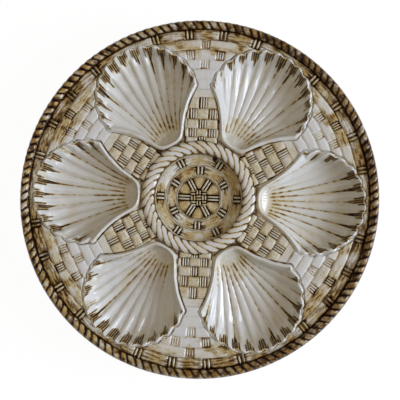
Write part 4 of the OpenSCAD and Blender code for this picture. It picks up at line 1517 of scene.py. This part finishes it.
class OYSTER_OT_stage(Operator):
    """White floor, daylight from the right and the camera"""
    bl_idname = "oyster.stage"
    bl_label = "Stage"

    def execute(self, context):
        bpy.ops.mesh.primitive_plane_add(size=6)
        floor = context.active_object
        floor.name = "floor"
        material, tree = new_material("White floor")
        colour = rgba(context.scene.oyster_colours.floor)
        lit = add(tree, "ShaderNodeBsdfPrincipled", Base_Color=colour, Roughness=0.9, Specular_IOR_Level=0.1)
        glow = add(tree, "ShaderNodeEmission", Strength=FLOOR_GLOW)
        part = add(tree, "ShaderNodeMath", seen_directly(tree), FLOOR_SHARE, operation="MULTIPLY").outputs[0]
        both = add(tree, "ShaderNodeMixShader", part, lit.outputs[0], glow.outputs[0])
        add(tree, "ShaderNodeOutputMaterial", Surface=both.outputs[0])
        floor.data.materials.append(material)
        for lamp in LAMPS:
            stage_lamp(*lamp)
        world = bpy.data.worlds.new("daylight")
        world.use_nodes = True
        tree = world.node_tree
        tree.nodes.clear()
        way = add(tree, "ShaderNodeTexCoord").outputs["Generated"]
        rise = add(tree, "ShaderNodeSeparateXYZ", way).outputs["Z"]
        low_down = add(tree, "ShaderNodeMath", rise, WHITE_BELOW, operation="LESS_THAN").outputs[0]
        part = add(tree, "ShaderNodeMath", seen_directly(tree), low_down, operation="MULTIPLY").outputs[0]
        soft = add(tree, "ShaderNodeBackground", Color=rgba(srgb(SOFT_LIGHT)), Strength=SOFT_STRENGTH)
        white = add(tree, "ShaderNodeBackground", Color=(1, 1, 1, 1), Strength=1.0)
        shown = add(tree, "ShaderNodeMixShader", part, soft.outputs[0], white.outputs[0])
        add(tree, "ShaderNodeOutputWorld", Surface=shown.outputs[0])
        context.scene.world = world
        context.scene.view_settings.view_transform = "Standard"
        stage_camera(context)
        return {"FINISHED"}


OPERATORS = (
    OYSTER_OT_stage, OYSTER_OT_dish, OYSTER_OT_shell_wells, OYSTER_OT_outer_panels, OYSTER_OT_inner_panels,
    OYSTER_OT_rim_weave, OYSTER_OT_ropes, OYSTER_OT_medallion,
)


class OYSTER_PT_plate(Panel):
    """Sizes, colours and steps of the plate"""
    bl_idname = "OYSTER_PT_plate"
    bl_label = "Oyster Plate"
    bl_space_type = "VIEW_3D"
    bl_region_type = "UI"
    bl_category = "Oyster Plate"

    def draw(self, context):
        for group in (context.scene.oyster_sizes, context.scene.oyster_colours):
            box = self.layout.box()
            for name in group.__annotations__:
                box.prop(group, name)
        for operator in OPERATORS:
            self.layout.operator(operator.bl_idname)


CLASSES = (OysterPlateSizes, OysterPlateColours, *OPERATORS, OYSTER_PT_plate)


def register():
    for item in CLASSES:
        bpy.utils.register_class(item)
    bpy.types.Scene.oyster_sizes = PointerProperty(type=OysterPlateSizes)
    bpy.types.Scene.oyster_colours = PointerProperty(type=OysterPlateColours)


def unregister():
    del bpy.types.Scene.oyster_colours
    del bpy.types.Scene.oyster_sizes
    for item in reversed(CLASSES):
        bpy.utils.unregister_class(item)


def main():
    register()
    for operator in OPERATORS:
        group, name = operator.bl_idname.split(".")
        getattr(getattr(bpy.ops, group), name)()


if __name__ == "__main__":
    main()
